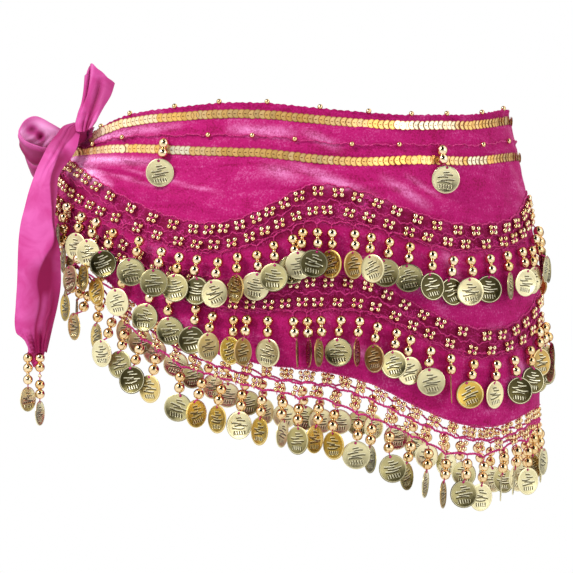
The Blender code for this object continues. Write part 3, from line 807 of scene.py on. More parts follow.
# %% [markdown]
# ## Sequin lines
#
# A sequin line is a string of cupped discs, each lapping over the next like roof tiles. Flat tape with a
# bump pattern would not flash as the line bends. So each disc is a tiny lens of its own, tipped by a few
# degrees, with small chance turns that make some of them catch the light.

# %% Two lines of lapping sequins
SEQUIN_RADIUS, SEQUIN_PITCH, SEQUIN_TIP = 3.12, 4.0, math.radians(-7)
sequin = turned([(0, 0.0), (SEQUIN_RADIUS, 0.08), (SEQUIN_RADIUS, 0.20), (0, 0.12)], 16)
HIGHLIGHT_STRETCHES = {  # share of the length at each end of a stretch of sequins with painted highlight, and how pale it makes them
    "sequins_upper": ((0.05, 0.13, 0.6), (0.335, 0.395, 0.95), (0.60, 0.66, 0.8)),
    "sequins_lower": ((0.05, 0.105, 0.4), (0.138, 0.165, 1.0), (0.402, 0.425, 0.8), (0.70, 0.76, 0.8)),
}


def tipped(angle, yaw, nod, roll, size=1.0):
    """Axes of a copy on the cloth: X onward, Y outward and Z up, then yawed, nodded and rolled by radians."""
    x, y = onward(angle), outward(angle)
    z = np.broadcast_to([0.0, 0.0, 1.0], x.shape)
    yaw, nod, roll = (np.broadcast_to(v, x.shape[:-1])[..., None] for v in (yaw, nod, roll))
    x, y = x * np.cos(yaw) + y * np.sin(yaw), y * np.cos(yaw) - x * np.sin(yaw)
    y, z = y * np.cos(nod) + z * np.sin(nod), z * np.cos(nod) - y * np.sin(nod)
    x, z = x * np.cos(roll) + z * np.sin(roll), z * np.cos(roll) - x * np.sin(roll)
    return np.stack((x, y, z), -2) * np.asarray(size)[..., None, None]


def per_copy(values, template):
    """Gives every point of each copy that copy's value."""
    return np.repeat(values, len(template[0]))


def sequin_line(name, node_name, share_down, first, last, seed):
    """Discs along a line, each tipped so that it laps over the next."""
    chance = np.random.default_rng(seed)
    count = int((last - first) * ROW_LENGTH / SEQUIN_PITCH)
    share = np.linspace(first, last, count)
    angle = angle_at(share)
    height = between_tapes(share_down, angle) + chance.normal(0, 0.12, count)
    yaw = SEQUIN_TIP + chance.normal(0, 0.02, count)
    # The disc is turned round Z, so its own axes are onward, down and outward.
    axes = tipped(angle, yaw, chance.normal(-0.05, 0.035, count), chance.normal(0, 0.06, count))[:, [0, 2, 1]]
    axes[:, 1] *= -1
    shape = copies(sequin, cloth(angle, height, 1.0), axes)
    uv = np.tile(sequin[0][:, :2] / (2 * SEQUIN_RADIUS) + 0.5, (count, 1))
    # Paleness of each sequin: a little by chance and in slow waves, with painted highlight over the listed
    # stretches.
    drift = 0.16 + 0.10 * np.sin(share * 60 + seed) + chance.normal(0, 0.09, count)
    for start, end, painted_highlight in HIGHLIGHT_STRETCHES[name]:
        drift = np.where((share > start) & (share < end), painted_highlight + chance.normal(0, 0.16, count), drift)
    tint = per_copy(np.clip(drift, 0, 1), sequin)
    new_piece(name, shape, sequin_finish, "sequins", [node_name], uv=uv, tint=tint, turn_out=True)


sequin_line("sequins_upper", "sequin_tape_upper", UPPER_TAPE_SHARE, 0.050, 0.972, 3)
sequin_line("sequins_lower", "sequin_tape_lower", 1.0, 0.034, 0.972, 4)

# %% Single beads along the top edge and the tuck
EDGE_BEAD = 1.85
bead_small = ball(8, 5)
EDGE_BEADS = {  # millimetres along from the front end: on the top edge, then on the tuck
    0.0: (56, 87, 127, 163, 200, 240, 277, 311, 342, 379, 416),
    TUCK_SHARE: (16, 34, 53, 85, 157, 190, 221, 262, 297, 371, 408),
}


def edge_beads():
    """A bead about every 30 mm on the top edge and the tuck. The listed ones are mirrored to the rear."""
    chance = np.random.default_rng(5)
    origins, angles = [], []
    for share_down, places in EDGE_BEADS.items():
        front = np.array(places, float)
        run = np.concatenate((front, ROW_LENGTH - front + chance.normal(0, 3.0, len(front))))
        angle = angle_at(run / ROW_LENGTH)
        height = between_tapes(share_down, angle) + (0.9 if share_down == 0 else 0.0)
        origins.append(cloth(angle, height, 0.8 if share_down == 0 else 1.9))
        angles.append(angle)
    origins, angles = np.concatenate(origins), np.concatenate(angles)
    count = len(angles)
    yaw, nod = chance.normal(0, 0.4, count), chance.normal(0, 0.4, count)
    beads = copies(bead_small, origins, tipped(angles, yaw, nod, 0.0, EDGE_BEAD))
    new_piece("edge_beads", beads, gold, "gold", tint=per_copy(chance.uniform(0, 0.25, count), bead_small))


edge_beads()

# %% [markdown]
# ## Where the beads and coins sit along each row
#
# Hand sewing is never even, so the rows that show best are laid out by a table: how far each drop or flower
# lies from the front end, and how each drop hangs. The rest of every row is filled in at the mean pitch
# with chance offsets. A purely even row would be simpler, but it reads as a machine's work at once.

# %% Places along the rows, in millimetres from the front end
# Painted reflections that a coin can show, as places along the coin's colour ramp.
PAINTED_REFLECTIONS = DARK, OLIVE, PALE, GOLDEN, BROWN = 0.0, 0.25, 0.5, 0.75, 1.0
DROPS = {  # along the row, rise, lean of the beads, coin to one side, turn, layer in front, painted reflection of the coin
    "upper": (
        (37, 7, -10, -5, -65, 0, BROWN), (53, 7, -14, -5, -78, 0, BROWN), (68, 4, -15, -4, -36, 0, PALE),
        (82, 5, -20, -5, -26, 1, PALE), (97, 3, -20, -5, -10, 2, DARK), (117, 4, -3, -3, 0, 1, OLIVE),
        (134, 1, -5, -2, 0, 1, OLIVE), (147, 0, -13, -3, -18, 0, OLIVE), (159, 0, -15, -1, -28, 0, DARK),
        (172, -2, -6, -1, 24, 1, PALE), (184, 0, 0, 0, -56, 0, BROWN), (196, -1, 9, 0, -12, 0, PALE),
        (207, 2, 6, 1, -10, 1, OLIVE), (219, 1, 12, 0, 0, 0, OLIVE), (227, 2, -8, -3, -8, 1, PALE),
        (236, 0, 0, -3, 0, 2, DARK), (246, -1, -3, -2, -42, 1, GOLDEN), (261, 0, -3, -2, 45, 0, BROWN),
        (273, 0, -18, -3, -36, 0, PALE), (285, 0, -14, -5, 0, 1, OLIVE), (299, 1, -14, -3, 0, 0, OLIVE),
        (315, -1, -17, -5, 28, 0, DARK), (330, -2, -17, -3, 32, 0, DARK), (343, -1, -6, -5, 15, 1, PALE),
        (359, 0, 3, -3, 15, 0, DARK), (375, 1, 3, 0, 74, 1, OLIVE), (393, 1, 5, -3, 36, 2, PALE),
        (406, -2, 0, 1, 56, 0, PALE), (420, 1, 0, 0, 74, 0, PALE), (433, 2, 0, 0, 90, 0, BROWN),
        (446, 1, 0, 0, 100, 0, OLIVE),
    ),
    "middle": (
        (48, 3, -4, -2, -76, 0, BROWN), (57, 1, -6, -3, -69, 0, BROWN), (66, -1, -8, -3, -56, 0, OLIVE),
        (74, 4, -6, -1, -65, 1, GOLDEN), (87, 1, -17, -5, -53, 0, GOLDEN), (106, 4, -11, -4, -32, 1, PALE),
        (125, 4, -3, -4, -18, 1, OLIVE), (140, 2, -14, -1, -10, 0, OLIVE), (157, 2, -5, -3, -10, 1, DARK),
        (169, 0, -13, -2, 42, 0, PALE), (182, -1, 0, -2, -42, 0, GOLDEN), (191, 0, -5, -2, 53, 1, BROWN),
        (204, 0, 0, 0, -32, 0, PALE), (220, 0, 5, 3, 86, 0, BROWN), (229, 0, 3, 1, -80, 0, BROWN),
        (238, 1, 0, -2, 72, 0, BROWN), (252, 1, -16, -3, -14, 0, OLIVE), (264, 1, -15, -4, 76, 0, BROWN),
        (276, 0, -20, -5, -48, 0, BROWN), (288, 1, -13, -4, 21, 1, OLIVE), (298, 1, -19, -2, 28, 0, PALE),
        (312, -1, -20, -3, 0, 1, PALE), (326, -1, -13, -4, 87, 0, BROWN), (344, -1, -17, -5, 10, 0, GOLDEN),
        (363, -1, -8, -2, 48, 0, PALE), (380, 0, 0, 2, 18, 1, DARK), (398, 2, 5, 5, 32, 0, DARK),
        (414, 8, 0, 1, 45, 1, BROWN), (428, 6, 0, 0, 60, 0, PALE), (441, 4, 0, 0, 96, 0, OLIVE),
    ),
    "hem": (
        (41, 9, 17, 0, -78, 0, BROWN), (52, 10, 4, -1, -66, 0, GOLDEN), (62, 11, -11, -5, -82, 0, BROWN),
        (70, 6, -6, -3, -60, 0, GOLDEN), (82, 6, -17, -4, -63, 0, GOLDEN), (93, 2, -15, -5, -42, 1, PALE),
        (104, 1, -17, -5, -32, 0, OLIVE), (116, -1, -20, -5, -21, 1, DARK), (128, 0, -13, -5, -39, 1, GOLDEN),
        (145, -2, -5, -2, -10, 0, OLIVE), (161, 2, -20, -5, 45, 1, GOLDEN), (174, 3, -17, -4, -49, 0, GOLDEN),
        (187, 3, -5, -2, 28, 0, PALE), (200, 2, -5, -2, -53, 0, GOLDEN), (214, 2, -9, -1, 65, 0, PALE),
        (224, -1, -5, -1, -42, 1, OLIVE), (237, 1, -5, -3, 51, 1, GOLDEN), (248, -1, -14, -2, -44, 1, GOLDEN),
        (263, -4, -5, -2, 0, 1, PALE), (272, -4, -5, -1, -66, 0, OLIVE), (285, -3, -14, -1, 10, 1, OLIVE),
        (300, -2, -17, -4, 59, 0, OLIVE), (312, -2, -6, -2, 74, 0, PALE), (325, -4, -5, -2, 74, 0, BROWN),
        (342, 0, -6, -3, 10, 1, OLIVE), (356, -1, -8, -2, 32, 0, PALE), (376, 3, -14, -3, 87, 0, PALE),
        (390, 3, -5, -4, 82, 0, PALE), (404, -1, 0, -1, 36, 1, PALE), (415, 5, 0, 3, 58, 0, BROWN),
        (427, 8, 0, 0, 66, 1, PALE), (440, 6, 0, 0, 92, 0, OLIVE),
    ),
}
FLOWERS = {  # the lower and the upper row of bead flowers of each tier
    "upper": (
        (
            8, 16, 25, 34, 44, 54, 65, 76, 90, 110, 126, 142, 155, 167, 179, 191, 201, 211, 222, 233, 243,
            258, 271, 285, 299, 312, 327, 341, 359, 376, 389, 401,
        ),
        (
            6, 14, 22, 31, 40, 50, 60, 71, 84, 103, 121, 137, 152, 163, 173, 184, 195, 204, 214, 224, 237,
            251, 264, 278, 291, 306, 320, 336, 351, 367, 382, 395, 409, 420,
        ),
    ),
    "middle": (
        (181, 192, 204, 215, 226, 236, 249, 262, 274, 287, 299, 311, 326, 344, 360, 377, 392, 408),
        (221, 231, 243, 256, 269, 282, 294, 307, 319, 336, 356, 370, 384, 398, 410),
    ),
    "hem": (
        (
            104, 117, 128, 141, 155, 171, 184, 196, 211, 223, 235, 248, 261, 272, 284, 296, 309, 323, 338,
            353, 370, 387, 403,
        ),
        (94, 190, 203, 217, 231, 243, 255, 265, 279, 292, 303, 317, 330, 346, 361, 376, 392, 405),
    ),
}


def filled(known, pitch, seed, first=4.0):
    """The known places along a row, with each longer gap filled at about the pitch, a little by chance."""
    chance = np.random.default_rng(seed)
    stops = np.concatenate(([min(first, known[0] - 1)], known, [ROW_LENGTH - first - 22 * (first > 4)]))
    made = []
    for start, end in zip(stops[:-1], stops[1:]):
        count = max(int((end - start) / pitch + 0.1) - 1, 0)
        inside = start + (end - start) * np.arange(1, count + 1) / (count + 1)
        made += [*(inside + chance.normal(0, 0.07 * pitch, count)), end]
    return np.sort(np.array(made[:-1]))


def facing(angle):
    """Direction of the cloth seen from above, in degrees from the X axis."""
    run = onward(angle)
    return np.degrees(np.arctan2(run[:, 1], run[:, 0]))


def drop_rows(tier, seed):
    """All the drops of a tier as columns, like those of DROPS. The unlisted ones take chance values."""
    chance = np.random.default_rng(seed)
    listed = np.array(DROPS[tier])
    places = filled(listed[:, 0], PITCH["drops"], seed, listed[0, 0] - 3)
    angle = angle_at(places / ROW_LENGTH)
    count = len(places)
    kind = chance.uniform(size=count)
    swing = np.where(kind < 0.62, 16.0, np.where(kind < 0.84, 38.0, 75.0))  # most hang nearly flat
    turn = facing(angle) + chance.normal(0, swing, count)
    # Unlisted coins take a painted reflection at random.
    tone = chance.choice([DARK, OLIVE, OLIVE, OLIVE, PALE, PALE, PALE, GOLDEN, GOLDEN, BROWN], count)
    rise_by, lean, aside = (chance.normal(*about, count) for about in ((0, 0.7), (-5, 6), (-2, 1.5)))
    # On the hem every third unlisted coin shows the olive painted reflection, the rest the pale one.
    if tier == "hem":
        tone = np.where(np.arange(count) % 3 == 0, OLIVE, PALE)
    rows = np.stack((places, rise_by, lean, aside, turn, chance.integers(0, 2, count), tone), 1)
    for row in listed:
        rows[np.abs(places - row[0]).argmin()] = row
    return rows, angle


print("drops in the upper tier:", len(drop_rows("upper", 1)[1]))

# %% [markdown]
# ## Bead flowers
#
# Rows of small beads, sewn in fours, run above each chain, and two more rows fill the net under the hem.
# Each flower is four beads at the corners of a small leaning square. The beads have 40 faces each, which is
# enough at their size, because there are some fifteen hundred of them.

# %% Flowers of four beads
FLOWER_BEAD = 1.75
FLOWER_OUT = FLOWER_BEAD + 0.2
OPEN_FLOWER = np.array([(-2.2, 1.75), (2.35, 1.75), (-2.1, -1.75), (2.05, -1.75)])
CLOSE_FLOWER = np.array([(-1.85, 1.75), (1.9, 1.75), (-1.8, -1.75), (1.8, -1.75)])


def degrees_per_mm(angle):
    """Degrees to a millimetre of cloth at an angle, from the length of the oval."""
    turn = np.radians(angle)
    return np.degrees(_length[-1] / ROW_LENGTH / np.hypot(np.cos(turn), DEPTH_SHARE * np.sin(turn)))


def flower_row(known, height_at, out, corners, seed):
    """A row of flowers: its run, the places of its beads, the beads, and a tint for each of their points."""
    run = filled(known, PITCH["flowers"], seed)
    angle = angle_at(run / ROW_LENGTH)
    height = height_at(angle, run)
    chance = np.random.default_rng(seed + 20)
    count = len(run)
    lean = 0.8 * np.arctan(np.gradient(height, run)) + chance.normal(0, 0.07, count)
    corner = corners[None] * chance.uniform(0.95, 1.05, (count, 1, 1)) + chance.normal(0, 0.12, (count, 4, 2))
    aside = corner[..., 0] + chance.normal(0.14, 0.12, count)[:, None] * corner[..., 1]
    x = aside * np.cos(lean)[:, None] - corner[..., 1] * np.sin(lean)[:, None]
    z = aside * np.sin(lean)[:, None] + corner[..., 1] * np.cos(lean)[:, None]
    bead_angle = angle[:, None] + x * degrees_per_mm(angle)[:, None]
    spots = cloth(bead_angle, height[:, None] + z, out)
    chance = np.random.default_rng(seed + 30)
    count = bead_angle.size
    size = FLOWER_BEAD * chance.uniform(0.95, 1.05, count)
    axes = tipped(bead_angle.ravel(), chance.uniform(-1, 1, count), chance.uniform(-1, 1, count), 0.0, size)
    beads = copies(bead_small, spots.reshape(-1, 3), axes)
    return run, spots, beads, per_copy(chance.uniform(0, 1, count), bead_small)


# %% [markdown]
# ## Coin drops
#
# A drop is a thread with two round beads and a coin under them. The coins are wider than their spacing, so
# they have to lap over each other as they do on the real scarf. A physics run could settle them, but it
# would be slow and hard to steer. So each coin has its turn from the table, and coins that would cross in
# plan are pushed apart, the one in the front layer outwards, until none do.

# %% Shapes of the drop
BEAD_RADIUS, LINK_BEAD = 3.62, 1.3
COIN_RADIUS, COIN_THICK = 9.5, 0.7
BEADS_BELOW = (5.3, 12.5)  # distance of the two beads below the chain
COIN_BELOW = 25.9  # and of the coin's middle
HOLE_IN = 1.4  # distance of the coin's hole from its rim
DROP_OUT = 4.3  # usual distance of a drop from the cloth
ROOT_THREAD, COIN_THREAD, HOLE_THREAD = 0.32, 0.42, 0.6  # radii of a drop's threads
bead_big = ball(14, 8)
_half = COIN_THICK / 2
_half_rim = [(0.88, _half - 0.15), (0.91, _half), (0.97, _half), (1.0, _half / 2)]
_rim = [(share, -height) for share, height in _half_rim] + _half_rim[::-1]
_coin_points, coin_faces = turned([(COIN_RADIUS * share, height) for share, height in _rim], 24)
coin = (_coin_points[:, [0, 2, 1]] * (1, 1, -1), coin_faces)
coin_uv = coin[0][:, [0, 2]] / (2 * COIN_RADIUS) + 0.5
print("a coin:", sum(len(f) for f in coin_faces), "faces")


def lift_of(tier, angle):
    """How much further out a tier hangs: near the knot each tier hangs over the one below it."""
    past = from_middle(angle)
    if tier == "upper":
        return 5.0 * ramp(90, 116, past)
    if tier == "middle":
        return 1.2 * ramp(118, 140, past)
    return np.full(np.shape(angle), -3.8)


def clear_of(tier, angle):
    """How far from the form a tier's coins stay, over cloth, bead flowers or the next tier's beads."""
    past = from_middle(angle)
    if tier == "upper":
        return 0.9 + 3.2 * ramp(76, 88, past) + 3.8 * ramp(102, 116, past)
    if tier == "middle":
        return 0.9 + 1.2 * ramp(84, 96, past) + 1.6 * ramp(140, 165, past)
    return np.full(np.shape(angle), -30.0)


# %% Coins that don't cross
LEAST_GAP = COIN_THICK + 1.3
PUSH, MOST_PUSH, MOST_ROUNDS = 0.35, 10.0, 60


def too_near(centre, reach, apart):
    """For each coin and the one a few places on: True if their edges, seen from above, meet or nearly do."""
    steps = np.linspace(-1, 1, 13)[None, :, None]
    first = centre[:-apart, None] + reach[:-apart, None] * steps
    second = centre[apart:, None] + reach[apart:, None] * steps
    gap = np.linalg.norm(first[:, :, None] - second[:, None], axis=3).min(axis=(1, 2))

    def side(a, b, c):
        return (b[:, 0] - a[:, 0]) * (c[:, 1] - a[:, 1]) - (b[:, 1] - a[:, 1]) * (c[:, 0] - a[:, 0])

    a, b, c, d = first[:, 0], first[:, -1], second[:, 0], second[:, -1]
    cross = (side(a, b, c) * side(a, b, d) < 0) & (side(c, d, a) * side(c, d, b) < 0)
    return cross | (gap < LEAST_GAP)


def pushed_apart(middle, angle, turn, layer, usual, least):
    """Distance out of each coin: clear of the cloth, then the front one of a crossing pair moves out."""
    edge_on = np.abs(np.sin(np.radians(turn - facing(angle))))
    out = np.maximum(usual + 1.0 * layer, least + edge_on * COIN_RADIUS)
    reach = np.stack((np.cos(np.radians(turn)), np.sin(np.radians(turn))), 1) * COIN_RADIUS
    for _ in range(MOST_ROUNDS):
        moved = 0
        for apart in (1, 2):
            centre = middle[:, :2] + outward(angle)[:, :2] * out[:, None]
            near = np.flatnonzero(too_near(centre, reach, apart))
            for k in near:
                front = k if (layer[k], out[k]) > (layer[k + apart], out[k + apart]) else k + apart
                out[front] += PUSH
            moved += len(near)
        if not moved:
            break
    return np.minimum(out, usual + MOST_PUSH)


# %% The drops of a tier
def coin_piece(name, places, axes, painted_reflections, marks, nodes=(), **more):
    """Copies of the coin as one piece, each with its painted reflection and its own start of the stamped
    waves.
    """
    return new_piece(
        name, copies(coin, places, axes), coin_finish, "gold", nodes, uv=np.tile(coin_uv, (len(painted_reflections), 1)),
        tint=per_copy(painted_reflections, coin), extra={"mark": per_copy(marks, coin)}, **more,
    )


def bead_tints(chance, big, small):
    """A chance tint for each big bead, then for each small one."""
    lots = ((big, bead_big), (small, bead_small))
    return np.concatenate([per_copy(chance.uniform(0, 1, count), bead) for count, bead in lots])


def coin_drops(tier, node_name, rows, angle, height_at, seed):
    """The drops of one tier: its coins become a piece here, and the beads, tints and threads are returned."""
    chance = np.random.default_rng(seed)
    count = len(rows)
    _, rise_by, lean, coin_aside, turn, layer, tone = rows.T
    lean = np.radians(lean)
    start = height_at(angle) + rise_by
    out = DROP_OUT + lift_of(tier, angle)
    aside = onward(angle)

    def hung(below, away, over=None):
        """Place a distance down the leaning thread, or the given distance to one side of where it starts."""
        over = below * np.sin(lean) * 0.8 if over is None else over
        return cloth(angle, start - below, away) + aside * over[:, None]

    level = hung(COIN_BELOW, 0.0, coin_aside)
    coin_out = pushed_apart(level, angle, turn, layer, out, clear_of(tier, angle))
    places = [hung(BEADS_BELOW[0], out), hung(BEADS_BELOW[1], out + (coin_out - out) * 0.35)]
    sizes = BEAD_RADIUS * chance.uniform(0.97, 1.02, (2, count))
    turns = [(chance.uniform(-0.5, 0.5, count), chance.uniform(-0.3, 0.3, count)) for _ in sizes]
    axes = [tipped(angle, yaw, nod, lean, size) for (yaw, nod), size in zip(turns, sizes)]
    beads = copies(bead_big, np.concatenate(places), np.concatenate(axes))
    linking = copies(bead_small, (places[0] + places[1]) / 2, tipped(angle, 0.0, 0.0, 0.0, LINK_BEAD))
    tint = bead_tints(chance, 2 * count, count)
    coin_place = hung(COIN_BELOW + chance.normal(0, 0.3, count), coin_out, coin_aside)
    # Each coin nods a little to suit its painted reflection.
    nod = np.interp(tone, PAINTED_REFLECTIONS, (0.11, 0.04, -0.05, 0.0, 0.02)) + chance.normal(0, 0.02, count)
    roll = -lean * 0.6 + chance.normal(0, 0.12, count)
    coin_axes = tipped(angle, np.radians(facing(angle) - turn), nod, roll)
    painted_reflections = np.clip(tone + chance.uniform(-0.09, 0.04, count), 0, 1)
    coin_piece(f"coins_{tier}", coin_place, coin_axes, painted_reflections, chance.uniform(0, 1, count), [node_name])
    hole = coin_place + coin_axes[:, 2] * (COIN_RADIUS - HOLE_IN)
    under = places[1] - [0.0, 0.0, BEAD_RADIUS * 0.8]
    root = cloth(angle, start, 0.9 if tier != "hem" else -0.4)
    face = coin_axes[:, 1] * 0.55
    strands = [
        struts(root, places[0], ROOT_THREAD),
        struts(under, hole + face, COIN_THREAD),
        struts(under, hole - face, COIN_THREAD),
        struts(hole + face * 1.2, hole - face * 1.2, HOLE_THREAD),
    ]
    return together(beads, linking), tint, strands


# %% [markdown]
# ## Crochet
#
# Thin chains of thread edge each tier. The lowest one of a tier dips to every drop in a shallow scallop, as
# the weight pulls it down. A cord whose thickness swells at each stitch looks like a chain and costs few
# faces.

# %% Crochet chains along a row
CHAIN_POINTS = 2000
STITCH = 1.9  # length of one stitch of a chain


def chain_along(height_at, out, radius, ripple, seed, pitch=PITCH["flowers"]):
    """Cord along a row: radius x (1 + 0.3 x sine of the stitches). Its height ripples once to each flower."""
    run = np.linspace(2.0, ROW_LENGTH - 2.0, CHAIN_POINTS)
    angle = angle_at(run / ROW_LENGTH)
    sway = ripple * (wave(run, pitch, seed) + 0.45 * wave(run, 5.1, 2 * seed))
    wound = 0.35 * radius * wave(run, STITCH)
    away = out + 0.25 * radius * np.cos(run * 2 * np.pi / STITCH)
    path = cloth(angle, height_at(angle, run) + sway + wound, away)
    thick = radius * (1 + 0.3 * wave(run, STITCH / 2, 1))
    return cord_round(path, outward(angle), thick, 4)


def scallop(run, places, depth):
    """Arches between drops: depth x the square root of a sine between each two neighbours."""
    k = np.clip(np.searchsorted(places, run), 1, len(places) - 1)
    t = np.clip((run - places[k - 1]) / (places[k] - places[k - 1]), 0, 1)
    return depth * np.sqrt(np.sin(np.pi * t) + 1e-9)


# %% The two tiers on the velvet
def crossed(spots, radius):
    """Two threads through each flower, from corner to corner."""
    return [struts(spots[:, a], spots[:, b], radius) for a, b in ((0, 3), (1, 2))]


def velvet_tier(tier, node_name, seed):
    """One tier: its drops, two rows of bead flowers above them and its chains."""
    rows, drop_angle = drop_rows(tier, seed)
    beads, tint, strands = coin_drops(
        tier, node_name, rows, drop_angle, lambda angle: row_height(tier, 0, angle), seed + 10
    )
    lots, tints = [beads], [tint]
    for which, known in enumerate(FLOWERS[tier], 1):
        _, spots, made, some = flower_row(
            known, lambda angle, run: row_height(tier, which, angle), FLOWER_OUT, OPEN_FLOWER, seed + which
        )
        lots.append(made)
        tints.append(some)
        strands += crossed(spots * 1.004, 0.4)
    new_piece(f"beads_{tier}", together(*lots), gold, "gold", tint=np.concatenate(tints))

    def lowest(angle, run):
        own = row_height(tier, 0, angle) + np.interp(run, rows[:, 0], rows[:, 1])
        return own + scallop(run, rows[:, 0], 2.6)

    def halfway(angle, run):
        return (row_height(tier, 1, angle) + row_height(tier, 2, angle)) / 2

    def highest(angle, run):
        return row_height(tier, 2, angle) + 4.6 - 1.8 * closing(angle)

    chains = [
        chain_along(lowest, 0.5, 0.55, ripple=0.2, pitch=6.1, seed=seed),
        chain_along(lambda angle, run: row_height(tier, 1, angle) - 4.8, 0.3, 0.4, ripple=0.7, seed=seed),
        chain_along(halfway, 0.35, 0.5, ripple=1.1, seed=seed + 1),
        chain_along(highest, 0.4, 0.6, ripple=0.6, seed=seed + 2),
    ]
    if tier == "upper":
        chains.append(chain_along(gathered_tuck, 1.15, 0.38, ripple=0.3, pitch=7.3, seed=seed))
    new_piece(f"crochet_{tier}", together(*chains, *strands), thread, "thread")


velvet_tier("upper", "coin_drops_upper", 100)
velvet_tier("middle", "coin_drops_middle", 200)

# %% [markdown]
# ## The net under the hem
#
# Below the velvet the rows of bead flowers hang free between three chains, so one can see through. The net
# is made of real threads and beads rather than a picture of them, because its holes show the far side.

# %% Hem net and its drops
NET_OUT = -0.45
NET_CHAINS = (0.5, 10.3, 20.8)  # depths of the three chains under the hem
CHAIN_SAGS = (0.0, 0.3, 1.0)  # share of the sag that each of them takes
NET_FLOWERS = ((15.4, 0.7), (5.4, 0.15))  # depth and share of the sag of the lower and the upper flowers
DROPS_START = 21.7
SAG = (  # along the row, rise of the net's lowest chain
    (0, 2), (60, 3), (85, 3), (104, 0), (128, -2.4), (142, -2.5), (157, 0.2), (172, 2), (205, 1.8), (224, -1),
    (236, 1), (250, -0.5), (271, -4.2), (296, -3.6), (322, -1.5), (340, -0.4), (354, 1.2), (376, 1.6),
    (400, 0), (470, -2), (520, 1.5), (590, -2.5), (650, 1), (720, -1.5), (800, 2), (880, 2),
)


def net_height(angle, run, depth, share):
    """Height of a place in the net: below the hem by its depth, plus its share of the sag there."""
    return line(HEM, angle) - depth + share * smooth(SAG, 1, run)


def hem_net(seed=300):
    """Three chains, two rows of flowers, the threads that tie them, and the lowest drops."""
    rows, drop_angle = drop_rows("hem", seed)
    beads, tint, strands = coin_drops(
        "hem", "coin_drops_hem", rows, drop_angle, lambda angle: line(HEM, angle) - DROPS_START, seed + 10
    )
    lots, tints = [beads], [tint]
    for which, (depth, share) in enumerate(NET_FLOWERS):
        places, spots, made, some = flower_row(
            FLOWERS["hem"][which], lambda angle, run: net_height(angle, run, depth, share),
            NET_OUT, CLOSE_FLOWER, seed + which,
        )
        lots.append(made)
        tints.append(some)
        for corner, (chain, aside) in enumerate(((1, -1.4), (1, 1.4), (2, -1.4), (2, 1.4))):
            other = angle_at((places + aside) / ROW_LENGTH)
            tied = net_height(other, places, NET_CHAINS[chain - which], CHAIN_SAGS[chain - which])
            strands.append(struts(spots[:, corner], cloth(other, tied, NET_OUT), 0.3))
        strands += crossed(spots, 0.3)
    # Hem beads are tinted towards the deeper gold: painted shade, darker towards the bottom.
    new_piece("beads_hem", together(*lots), gold, "gold", tint=0.55 * np.concatenate(tints))

    def lowest(angle, run):
        own = np.interp(run, rows[:, 0], rows[:, 1] + 0.6)
        return line(HEM, angle) - DROPS_START + own + scallop(run, rows[:, 0], 1.9)

    def upper(which):
        return lambda angle, run: net_height(angle, run, NET_CHAINS[which], CHAIN_SAGS[which])

    chains = [
        chain_along(upper(0), NET_OUT, 0.7, ripple=0.12, seed=1),
        chain_along(upper(1), NET_OUT, 0.72, ripple=0.5, seed=2),
        chain_along(lowest, NET_OUT, 0.72, ripple=0.1, seed=3),
    ]
    nodes = ["hem_net_front", "hem_net_back"]
    new_piece("hem_net_thread", together(*chains, *strands), thread, "thread", nodes)


hem_net()

# %% [markdown]
# ## Four single coins
#
# A larger drop hangs over the lower sequin line at four places. It is made of the same shapes as the others,
# with its beads scaled up a little, so that a maker who changes the coin changes it everywhere.

# %% Charms on the lower sequin line
CHARMS = ((120.5, 2.2, 0.0), (48.5, 5.0, 1.4))  # degrees from the middle, rise, how much closer its beads are
CHARM_SIZE = 1.02
CHARM_START = 7.0  # how far above the sequin line a charm's thread starts
CHARM_BEADS, CHARM_COIN = 6.3, 25.2  # from bead to bead, and from the start down to the coin's middle
CHARM_OUT = (5.2, 4.6)  # distance of the beads and of the coin from the cloth
# Painted reflections of the four charm coins, and where their stamped waves start.
CHARM_REFLECTIONS, CHARM_MARKS = np.array([0.42, 0.5, 0.46, 0.5]), np.array([0.2, 0.7, 0.4, 0.9])


def charms():
    """Two beads and a coin at each place, hung from just above the sequins."""
    at, rise_by, closer = np.array(
        [(CENTRE_ANGLE + side * row[0], *row[1:]) for row in CHARMS for side in (-1, 1)]
    ).T
    start = line(TAPE, at) + CHARM_START + rise_by
    chance = np.random.default_rng(61)
    depths = (BEADS_BELOW[0], BEADS_BELOW[0] + CHARM_BEADS - 0.2 * closer)
    places = [cloth(at, start - below, CHARM_OUT[0]) for below in depths]
    axes = tipped(at, 0.2, 0.1, 0.0, BEAD_RADIUS * CHARM_SIZE)
    beads = [copies(bead_big, place, axes) for place in places]
    nodes = [f"coin_charm_{side}_{k}" for k in (1, 2) for side in ("front", "back")]
    tint = per_copy(chance.uniform(0.3, 1, 8), bead_big)
    new_piece("charm_beads", together(*beads), gold, "gold", nodes, tint=tint)
    place = cloth(at, start - CHARM_COIN, CHARM_OUT[1])
    yaw = np.where(np.abs(facing(at)) < 90, np.radians(facing(at)) * 0.9, 0.3)
    axes = tipped(at, yaw, -0.1, [0.1, 0.0, -0.1, 0.12])
    coin_piece("charm_coins", place, axes, CHARM_REFLECTIONS, CHARM_MARKS)
    hole = place + axes[:, 2] * (COIN_RADIUS - 1.3)
    under = places[1] - [0, 0, 3.0]
    threads = [struts(cloth(at, start, 0.4), places[0], 0.4)]
    threads += [struts(under, hole + side * axes[:, 1] * 0.5, 0.4) for side in (1, -1)]
    new_piece("charm_threads", together(*threads), thread, "thread")


charms()

# %% [markdown]
# ## The ties
#
# Each end of the scarf runs into a satin ribbon. Knotted, they give a short end that stands up, a loop, the
# knot itself and a long tail. A ribbon is a grid: one number runs along it and the other across it, and its
# folds are waves across the width that grow where the knot squeezes it.

# %% Ribbon helper
SATIN_THICK = 1.1


